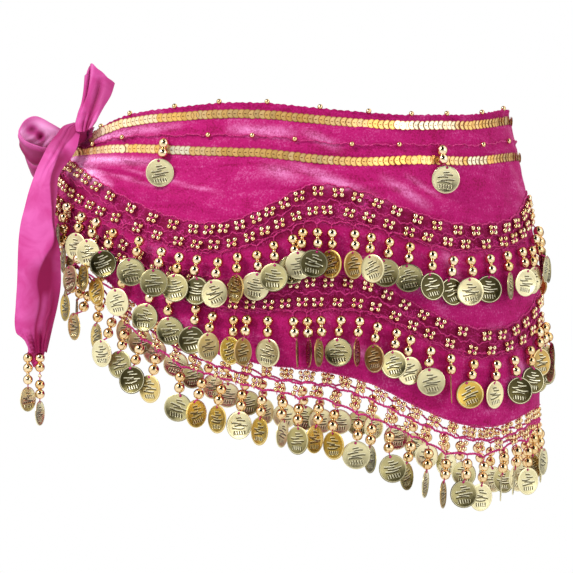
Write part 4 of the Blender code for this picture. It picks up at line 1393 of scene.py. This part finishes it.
def ribbon(name, grid, nodes, hollow, **sheet):
    """Wall round a grid, half its thickness to each side of it."""
    offset = grid_normals(grid) * SATIN_THICK / 2
    along = np.cumsum(np.linalg.norm(np.diff(grid, axis=0, prepend=grid[:1]), axis=2), axis=0)
    across = np.cumsum(np.linalg.norm(np.diff(grid, axis=1, prepend=grid[:, :1]), axis=2), axis=1)
    uv = np.tile(np.stack((across, along), -1).reshape(-1, 2), (2, 1))
    # Each point's painted shade goes into an attribute; a negative one is painted highlight.
    shade = np.tile(np.broadcast_to(hollow, grid.shape[:2]).ravel(), 2)
    piece = new_piece(
        name, closed_wall(grid + offset, grid - offset), satin, "satin", nodes,
        uv=uv, extra={"hollow": shade}, turn_out=True, sharp=60.0,
    )
    area = grid_area(grid)


def table_grid(rows, along, across):
    """A fine grid over a table: the share down its rows, v from -1 to 1 across, and the table's columns."""
    t = np.linspace(0, len(rows) - 1, along)[:, None]
    table = [(k, *row) for k, row in enumerate(rows)]
    columns = [smooth(table, column, t) for column in range(1, len(table[0]))]
    return t / (len(rows) - 1), np.linspace(-1, 1, across)[None], columns


# %% The standing end
STANDING_END = (  # middle x, y, z, then half the reach in x, y and z
    (-137.2, -39.0, 29.4, 10.4, 0.0, -9.2), (-139.4, -39.6, 17.2, 9.9, 0.0, -5.4),
    (-142.6, -40.6, 6.2, 8.5, 0.0, -2.2), (-145.3, -43.6, -2.2, 7.8, 0.0, -0.4),
    (-146.8, -49.0, -8.0, 7.2, 0.0, 0.8), (-147.4, -52.5, -12.4, 5.2, 0.0, 1.4),
)


def standing_end():
    """Short end above the knot: its left edge rolls over, and uneven pleats run down into the knot."""
    t, v, (x, y, z, rx, ry, rz) = table_grid(STANDING_END, 110, 100)
    lobe = ramp(-0.40, -1.0, v)
    middle, side = 0.12 + 0.16 * t, -0.66 + 0.1 * t
    valleys = 3.0 * bump(v, middle, 0.24) * ramp(0.0, 0.2, t) * (1 - 0.3 * t)
    valleys = valleys + 2.2 * bump(v, side, 0.10) * (1 - ramp(0.2, 0.42, t))
    narrow = (bump(v, 0.50, 0.09) + bump(v, -0.20, 0.10) + 0.8 * bump(v, 0.16, 0.07)) * ramp(0.5, 0.85, t)
    ridges = 1.4 * bump(v, 0.74, 0.14) * ramp(0.25, 0.6, t) + 1.8 * bump(v, -0.55, 0.24) * ramp(0.3, 0.6, t)
    ridges = ridges + 2.0 * bump(v, -0.88, 0.12) * (1 - t)
    drop = 12.5 * lobe**1.7 * (1 - ramp(0.0, 0.6, t)) + 1.6 * (1 - v**2) * ramp(0.6, 1.0, t)
    grid = np.stack(
        (
            x + rx * (v + 0.10 * np.sin(np.pi * t) * lobe),
            y + ry * v + valleys + 2.2 * narrow - ridges + 2.6 * ramp(-0.90, -1.0, v),
            z + rz * v - drop + 0.3 * np.sin(9 * v) * (1 - t),
        ),
        -1,
    )
    # Painted shade in the valleys and creases, over the upper right and a little everywhere; painted
    # highlight on two ridges.
    shade = 0.75 * bump(v, middle, 0.20) * ramp(0.02, 0.25, t)
    shade = shade + 0.8 * bump(v, side, 0.08) * (1 - ramp(0.25, 0.45, t))
    shade = shade + 0.9 * narrow + 0.34 * ramp(0.1, 0.8, v) * (1 - ramp(0.3, 0.75, t)) + 0.14
    shade = shade - 0.35 * bump(v, 0.78, 0.12) * ramp(0.35, 0.6, t)
    shade = shade - 0.3 * bump(v, -0.45, 0.10) * (1 - ramp(0.1, 0.4, t))
    ribbon("tie_standing_cloth", grid, ["tie_standing_end"], np.clip(shade, -0.5, 0.85), held="gathered")


standing_end()

# %% The long tail
LONG_TAIL = (  # left x, z, right x, z, then y
    (-155.0, -7.6, -147.5, -8.5, -43.5), (-162.1, -10.3, -150.2, -13.0, -47.0),
    (-166.3, -16.2, -150.8, -19.0, -51.0), (-171.1, -23.1, -152.2, -26.0, -55.5),
    (-175.3, -31.4, -156.6, -33.5, -57.0), (-179.4, -40.4, -162.6, -41.6, -58.6),
    (-182.2, -48.5, -164.9, -48.5, -60.0), (-184.8, -56.5, -165.1, -56.0, -61.0),
    (-187.2, -66.0, -166.2, -65.5, -61.5), (-189.9, -77.0, -167.2, -76.5, -62.0),
    (-191.3, -87.0, -166.0, -86.0, -62.0), (-191.9, -97.0, -163.6, -95.5, -62.0),
    (-192.2, -108.0, -162.8, -107.0, -62.0), (-192.6, -120.0, -162.6, -119.5, -62.0),
    (-193.6, -134.0, -164.7, -134.0, -62.0), (-194.0, -148.0, -168.0, -148.0, -62.0),
    (-190.2, -158.0, -170.4, -158.0, -62.0), (-186.6, -166.2, -172.2, -166.2, -62.0),
)
CREST = (  # height, and how far across the fold lies, from -1 to 1
    (0, 0.7), (12, 0.62), (24, 0.0), (31, -0.05), (41, 0.25), (54, 0.45), (61, 0.6), (72, 0.82), (88, 0.86),
    (102, 0.2), (117, -0.13), (132, 0.05), (148, 0.0), (170, -0.2),
)


def long_tail():
    """Tail over the knot's front: a fold runs down it, its flank turns away into painted shade, and its tip
    is gathered.
    """
    t, v, (left, left_z, right, right_z, y) = table_grid(LONG_TAIL, 260, 90)
    share = (v + 1) / 2
    x = left + (right - left) * share
    z = left_z + (right_z - left_z) * share
    crest = smooth(CREST, 1, -z)
    near, far = np.clip((v + 1) / (crest + 1), 0, 1), np.clip((v - crest) / (1 - crest), 0, 1)
    upper = 1 - ramp(-22, -34, z)
    low = ramp(-118, -132, z)
    tip = ramp(-146, -160, z)
    deep = np.sin(np.pi / 2 * near) * 3.2 - far**0.7 * (3.0 - 1.4 * upper)
    pleats = 0.8 * bump(v, -0.5, 0.12) + 0.7 * bump(v, -0.05, 0.10) - 0.8 * bump(v, -0.25, 0.12)
    seam = 0.6 * bump(far, 0.62 + 0.04 * np.sin(0.4 * z), 0.05) * low
    gathers = (0.8 * np.cos(11 * v + 4) + 0.5 * np.cos(23 * v)) * tip
    soft = 0.5 * np.sin(0.045 * z + 2.2 * v) * ramp(-60, -90, z) + 0.3 * np.sin(5 * v + 0.17 * z) * low
    lifted = 9.5 * (1 - ramp(-0.96, -0.5, v)) * ramp(0.9, 1.0, t)
    grid = np.stack(
        (
            x - 1.2 * (1 - ramp(-1, -0.4, v)) * tip,
            y - deep - pleats * (1 - ramp(-22, -60, z)) - seam - gathers - soft,
            z + lifted + 0.4 * np.sin(17 * v) * tip,
        ),
        -1,
    )
    # Painted shade on the flank that turns away, lighter in the upper part with a dark line along the crease
    # there; low down, a strip of painted highlight on the flank and painted shade at its right edge. The near
    # side is painted darker low down and near the top, and lighter by its left edge.
    flank = ramp(0.0, 0.14, far) * (0.88 - 0.30 * ramp(0.35, 0.9, far))
    flank = flank * (1 - 0.75 * upper) - 0.30 * upper * ramp(0.05, 0.2, far)
    flank = flank + 0.5 * upper * bump(far, 0.0, 0.12)
    painted_highlight = bump(far, 0.3, 0.22) * low * (1 - tip)
    shade = flank * (1 - 0.75 * painted_highlight) + 0.25 * ramp(0.62, 0.75, far) * low
    shade = shade + (0.30 * near**2 + 0.20) * ramp(-96, -112, z) * (1 - far)
    shade = shade - 0.12 * (1 - ramp(0.2, 0.8, near)) * (1 - far) + 0.22 * bump(z, -14.0, 7.0) * (1 - far)
    # The gathered tip is darker in a knotted pattern: the colour of its crochet binding.
    knots = 0.25 * np.sin(1.9 * z + 9 * v) * np.sin(13 * v - 0.7 * z)
    shade = np.maximum(shade, (0.85 + knots) * tip * ramp(-0.7, -0.3, v))
    ribbon("tie_tail_cloth", grid, ["tie_long_tail"], np.clip(shade, -0.4, 1), held="hung")


long_tail()

# %% The loop of the bow
LOOP = (  # front x, front z, rear x, rear z, half depth
    (-160.0, -12.5, -164.7, -24.5, 3.5), (-170.6, -6.3, -174.0, -28.5, 9.5),
    (-180.6, -2.4, -183.0, -31.0, 13.0), (-188.6, -5.8, -186.5, -32.0, 14.0),
    (-193.0, -13.4, -188.2, -34.0, 14.0), (-190.9, -19.4, -187.2, -38.0, 14.0),
    (-184.4, -23.6, -183.2, -44.6, 13.0), (-176.0, -26.0, -175.5, -40.0, 9.5),
    (-168.0, -25.0, -168.0, -32.0, 3.5),
)
LOOP_MIDDLE = (-176.0, -37.0, -18.0)
LOOP_HOLLOWS = ((-184.2, -11.6, 4.8, 4.2), (-178.0, -16.8, 3.0, 3.2))  # x, z and the reach each way of two dents in painted shade


def bow_loop():
    """Loop that leaves the knot, turns back and droops. Its mouth shows the far wall with two hollows in
    painted shade.
    """
    t, v, (front_x, front_z, rear_x, rear_z, half) = table_grid(LOOP, 180, 90)
    share = (v + 1) / 2
    top = 1 - ramp(0.42, 0.56, t)
    under = 1 - top
    x = front_x + (rear_x - front_x) * share ** (1 + 0.5 * (1 - top))
    z = front_z + (rear_z - front_z) * share ** (1 - 0.55 * top)
    hollow = sum(np.exp(-(((x - a) / c) ** 2) - ((z - b) / d) ** 2) for a, b, c, d in LOOP_HOLLOWS)
    hollow = hollow * top * ramp(0.0, 0.01, share)
    slant = 0.8 * (t - 0.75)
    crease = 1.3 * bump(v, -0.1 + slant, 0.16) * under - 0.9 * bump(v, 0.25 + slant, 0.14) * under
    off_x, off_z = x - LOOP_MIDDLE[0], z - LOOP_MIDDLE[2]
    swell = (0.5 * np.sin(9 * t + 2 * v) + crease - ramp(-0.8, -1.0, v)) / (np.hypot(off_x, off_z) + 1e-6)
    x, z = x + off_x * swell, z + off_z * swell
    arcs = 0.6 * np.sin(1.3 * np.hypot(x + 190, z + 6)) * top
    # The far wall is also dented in where its two hollows lie.
    y = LOOP_MIDDLE[1] + v * half + 4.0 * hollow + arcs * ramp(-0.8, -0.4, v)
    # Painted shade in the two hollows; the rest of the inside of the top is painted lighter, and so is the
    # edge at v = -1; the outside of the lower part is painted darker, darker along one crease and lighter
    # along the other.
    shade = 0.85 * hollow - top * ramp(0.0, 0.02, share) * (1 - hollow) - 0.15 * (1 - ramp(-0.9, -0.7, v))
    shade = shade + under * ramp(-0.95, -0.75, v) * (0.64 - 0.5 * bump(v, 0.25 + slant, 0.12) + 0.2 * crease)
    ribbon("tie_loop_cloth", np.stack((x, y, z), -1), ["tie_loop"], np.clip(shade, -1.0, 0.9), held="folded")


bow_loop()

# %% The knot
KNOT_ANGLE, KNOT_HEIGHT, KNOT_OUT = -71.0, -16.0, 9.9
KNOT_HALF = (9.6, 9.0, 7.6)


def knot():
    """Knot: a small ball with two soft folds and a wrap across its top, mostly behind the two ends."""
    rows, columns = 70, 110
    tilt = np.linspace(0, np.pi, rows)[:, None]
    turn = np.linspace(0, 2 * np.pi, columns, endpoint=False)[None]
    flat = np.sin(tilt)
    x, _, z = unit = np.array(np.broadcast_arrays(flat * np.cos(turn), flat * np.sin(turn), np.cos(tilt)))
    across = x - 0.25 * z
    pleat = 0.05 * np.cos(across * 7 + 0.8) * (1 - z**2) + 0.02 * np.cos(across * 15)
    size = 0.92 + pleat + 0.10 * bump(z - 0.1 * x, 0.45, 0.2)
    local = np.moveaxis(unit * size, 0, -1) * KNOT_HALF
    local[..., 0] += 0.35 * local[..., 2]
    angle = np.float64(KNOT_ANGLE)
    axes = np.stack((onward(angle), outward(angle), [0.0, 0.0, 1.0]))
    grid = hip(angle, KNOT_HEIGHT, KNOT_OUT) + local @ axes
    # Painted light from above: the top is painted lighter, the lower part darker, and the +x side a little
    # darker.
    shade = np.clip(0.35 + 0.2 * x - 0.9 * (z - 0.4), -0.2, 0.85)
    points = np.concatenate((grid[1:-1].reshape(-1, 3), grid[0, :1], grid[-1, :1]))
    shade = np.concatenate((shade[1:-1].ravel(), shade[0, :1], shade[-1, :1]))
    index = np.arange((rows - 2) * columns).reshape(rows - 2, columns)
    following = np.roll(index, -1, 1)
    faces = [
        np.stack((index[:-1], index[1:], following[1:], following[:-1]), -1).reshape(-1, 4),
        np.stack((np.full(columns, index.size), index[0], following[0]), -1),
        np.stack((np.full(columns, index.size + 1), following[-1], index[-1]), -1),
    ]
    new_piece(
        "tie_knot_cloth", (points, faces), satin, "satin", ["tie_knot"],
        uv=points[:, [0, 2]], extra={"hollow": shade}, turn_out=True, sharp=80.0,
    )


knot()


# %% The gathered ends on the velvet
def lap(angle, height, out):
    """Point over the cloth, or over the slit between its two ends, where the end column's folds go on."""
    first, last = CENTRE_ANGLE - HALF_SPAN, CENTRE_ANGLE + HALF_SPAN
    wrapped = np.where(angle < first, np.where(angle + 360 <= last, angle + 360, first), angle)
    return hip(angle, height, out + rise(wrapped, height))


def strap(name, node_name, start, end, rises, heights):
    """A tie's flat end on the velvet: its height goes from one to the other, with pleats along it."""
    t = np.linspace(0, 1, 60)[:, None]
    v = np.linspace(1, -1, 50)[None]
    angle, middle, half = (a + (b - a) * t for a, b in ((start, end), rises, heights))
    out = 1.75 + 0.75 * (1 - v**2) + 0.38 * np.cos(4.5 * np.pi * v + 2 * t)
    grid = lap(angle + 0 * v, middle + half * v, out)
    # The whole strap takes an even painted shade.
    ribbon(name, grid, [node_name], 0.45, held="gathered", rests_on=["velvet_wrap"])


strap("tie_front_cloth", "tie_strap_front", -77.0, -65.8, (-17.5, -13.6), (6.5, 3.0))
strap("tie_back_cloth", "tie_strap_back", -102.0, -78.9, (-27.5, -23.0), (4.0, 7.0))

# %% The strings at the tail's tip
TAIL_HEAD = (-179.4, -60.4, -164.1)
TAIL_PROFILE = (  # radius and height
    (0, -13.0), (2.2, -12.4), (3.8, -9.0), (5.0, -4.5), (5.9, -1.0), (6.0, 2.0), (5.8, 4.0), (0, 4.2),
)
STRING_Y, STRING_TOP = -62.0, TAIL_HEAD[2] - 2.4
TAIL_BEAD, TAIL_LINK, TAIL_COIN = 0.93, 1.25, 0.9  # bead as a share of the others', link radius, coin share
# Painted reflections of the two tail coins, and where their stamped waves start.
TAIL_REFLECTIONS, TAIL_MARKS = (0.48, 0.5), (0.9, 0.9)
TAIL_DROPS = (  # x, depths of the beads, depth of the coin's middle, half of the coin's width as seen
    (-185.2, (3.6, 10.6, 18.6), 32.0, 4.8),
    (-177.0, (3.6, 10.0, 22.0, 28.4), 41.7, 2.5),
)


def tail_strings():
    """A bound head under the gathered tip, and two threads with beads and a turned coin each."""
    chance = np.random.default_rng(71)
    beads, links, coins, axes = [], [], [], []
    threads = [copies(turned(TAIL_PROFILE, 24), [TAIL_HEAD], [np.diag([1.0, 0.28, 1.0])])]
    for x, below, coin_at, half in TAIL_DROPS:
        places = np.array([(x, STRING_Y, STRING_TOP - b) for b in below])
        beads.append(places)
        links.append((places[1:] + places[:-1]) / 2)
        yaw = math.acos(half / (COIN_RADIUS * TAIL_COIN))
        run = np.array([math.cos(yaw), math.sin(yaw), 0.0])
        axes.append(np.stack((run, [run[1], -run[0], 0.0], [0.0, 0.0, 1.0])) * TAIL_COIN)
        coins.append((x, STRING_Y, STRING_TOP - coin_at))
        end = (x, STRING_Y, STRING_TOP - coin_at + COIN_RADIUS * 0.8)
        threads.append(struts([(x, STRING_Y, STRING_TOP + 0.6)], [end], 0.4))
    big, small = np.concatenate(beads), np.concatenate(links)
    lots = ((bead_big, big, BEAD_RADIUS * TAIL_BEAD), (bead_small, small, TAIL_LINK))
    shape = together(*(copies(bead, at, [np.eye(3) * size] * len(at)) for bead, at, size in lots))
    tint = bead_tints(chance, len(big), len(small))
    new_piece("tail_beads", shape, gold, "gold", ["tie_tail_drops"], tint=tint)
    coin_piece("tail_coins", coins, axes, TAIL_REFLECTIONS, TAIL_MARKS, turn_out=True)
    new_piece("tail_threads", together(*threads), thread, "thread")


tail_strings()

# %% [markdown]
# ## Light, floor and camera
#
# Polished beads show whatever is round them, so the room matters as much as the lamps. It is bright at the
# sides, above and below, dimmer straight in front and behind, and has a dark place above the camera, which
# gives every bead the dark spot of a real studio.

# %% The room
DARK_SPOT = (0.0, -0.82, 0.57)  # where the middle of the dark spot lies
SPOT_REACH = (42, 32)  # degrees from there to its outer and its inner edge


def room():
    """World light: bright above for dull cloth, dim in front and behind, and with a dark spot for metal."""
    world = bpy.data.worlds.new("studio")
    bpy.context.scene.world = world
    world.use_nodes = True
    nodes = Nodes(world.node_tree)
    x, y, z = nodes.split(nodes.place("Generated"))
    level = abs(y)
    folded = nodes.add("ShaderNodeCombineXYZ", [(0, x), (1, level * -1.0), (2, z)])
    near = nodes.vector("DOT_PRODUCT", folded, DARK_SPOT)
    outer, inner = (math.cos(math.radians(reach)) for reach in SPOT_REACH)
    spot = near.spread(outer, inner, 1.0, 0.03)
    strip = abs(x).spread(0.34, 0.22) * z.spread(0.45, 0.6)
    shine = level.spread(0.35, 0.95, 1.25, 0.62) * y.spread(0.1, 0.8, 1.0, 0.45)
    shine = shine * (spot * (strip * -0.85 + 1.0)) * z.spread(-0.45, -0.8, 1.0, 0.45)
    rays = nodes.add("ShaderNodeLightPath").socket.node.outputs
    light = nodes.mixed(Value(nodes, rays["Is Glossy Ray"]), z.spread(-0.8, 1.0, 0.35, 0.95), shine)
    background = nodes.tree.nodes["Background"].inputs
    nodes.feed(background["Color"], (1.0, 1.0, 1.0))
    nodes.feed(background["Strength"], nodes.mixed(Value(nodes, rays["Is Camera Ray"]), light, 1.0))


room()
bpy.context.scene.view_settings.view_transform = "Standard"
print("room made")


# %% Lamps, floor and camera
AIM = (0.0, 0.0, -0.1)
CAMERA_PLACE, LENS, SENSOR = (-0.00745, -2.0, -0.121), 177.1, 36.0
FLOOR_HALF, FLOOR_LEVEL = 3.0, -0.85


def shown(name, data):
    """New object in the scene."""
    made = bpy.data.objects.new(name, data)
    bpy.context.scene.collection.objects.link(made)
    return made


def lamp(name, place, size, power):
    """Square soft lamp that faces the middle of the scarf."""
    light = bpy.data.lights.new(name, "AREA")
    light.size, light.energy = size, power
    made = shown(name, light)
    made.location = place
    towards = mathutils.Vector(AIM) - mathutils.Vector(place)
    made.rotation_euler = towards.to_track_quat("-Z", "Y").to_euler()


lamp("key_lamp", (-1.2, -1.3, 1.2), 0.6, 26.0)
lamp("fill_lamp", (1.5, -1.2, 0.3), 0.9, 6.0)
lamp("rear_lamp", (0.6, 1.6, 0.8), 0.9, 12.0)

floor_finish, floor_nodes, floor_shader = new_finish("pale_floor", 0.9, 0.0)
floor_tone = floor_nodes.noise(floor_nodes.place(), 3.0)
floor_nodes.feed(
    floor_shader["Base Color"], floor_nodes.layered((0.80, 0.80, 0.80), (floor_tone, (0.86, 0.86, 0.86)))
)
floor_mesh = bpy.data.meshes.new("floor")
corners = [(FLOOR_HALF * x, FLOOR_HALF * y, FLOOR_LEVEL) for x, y in ((-1, -1), (1, -1), (1, 1), (-1, 1))]
floor_mesh.from_pydata(corners, [], [(0, 1, 2, 3)])
floor_mesh.materials.append(floor_finish)
floor = shown("floor", floor_mesh)

camera_data = bpy.data.cameras.new("camera")
camera_data.lens, camera_data.sensor_width = LENS, SENSOR
camera = shown("camera", camera_data)
camera.location = CAMERA_PLACE
camera.rotation_euler = (math.radians(90), 0, 0)
bpy.context.scene.camera = camera
print("camera at", tuple(round(c, 3) for c in camera.location))
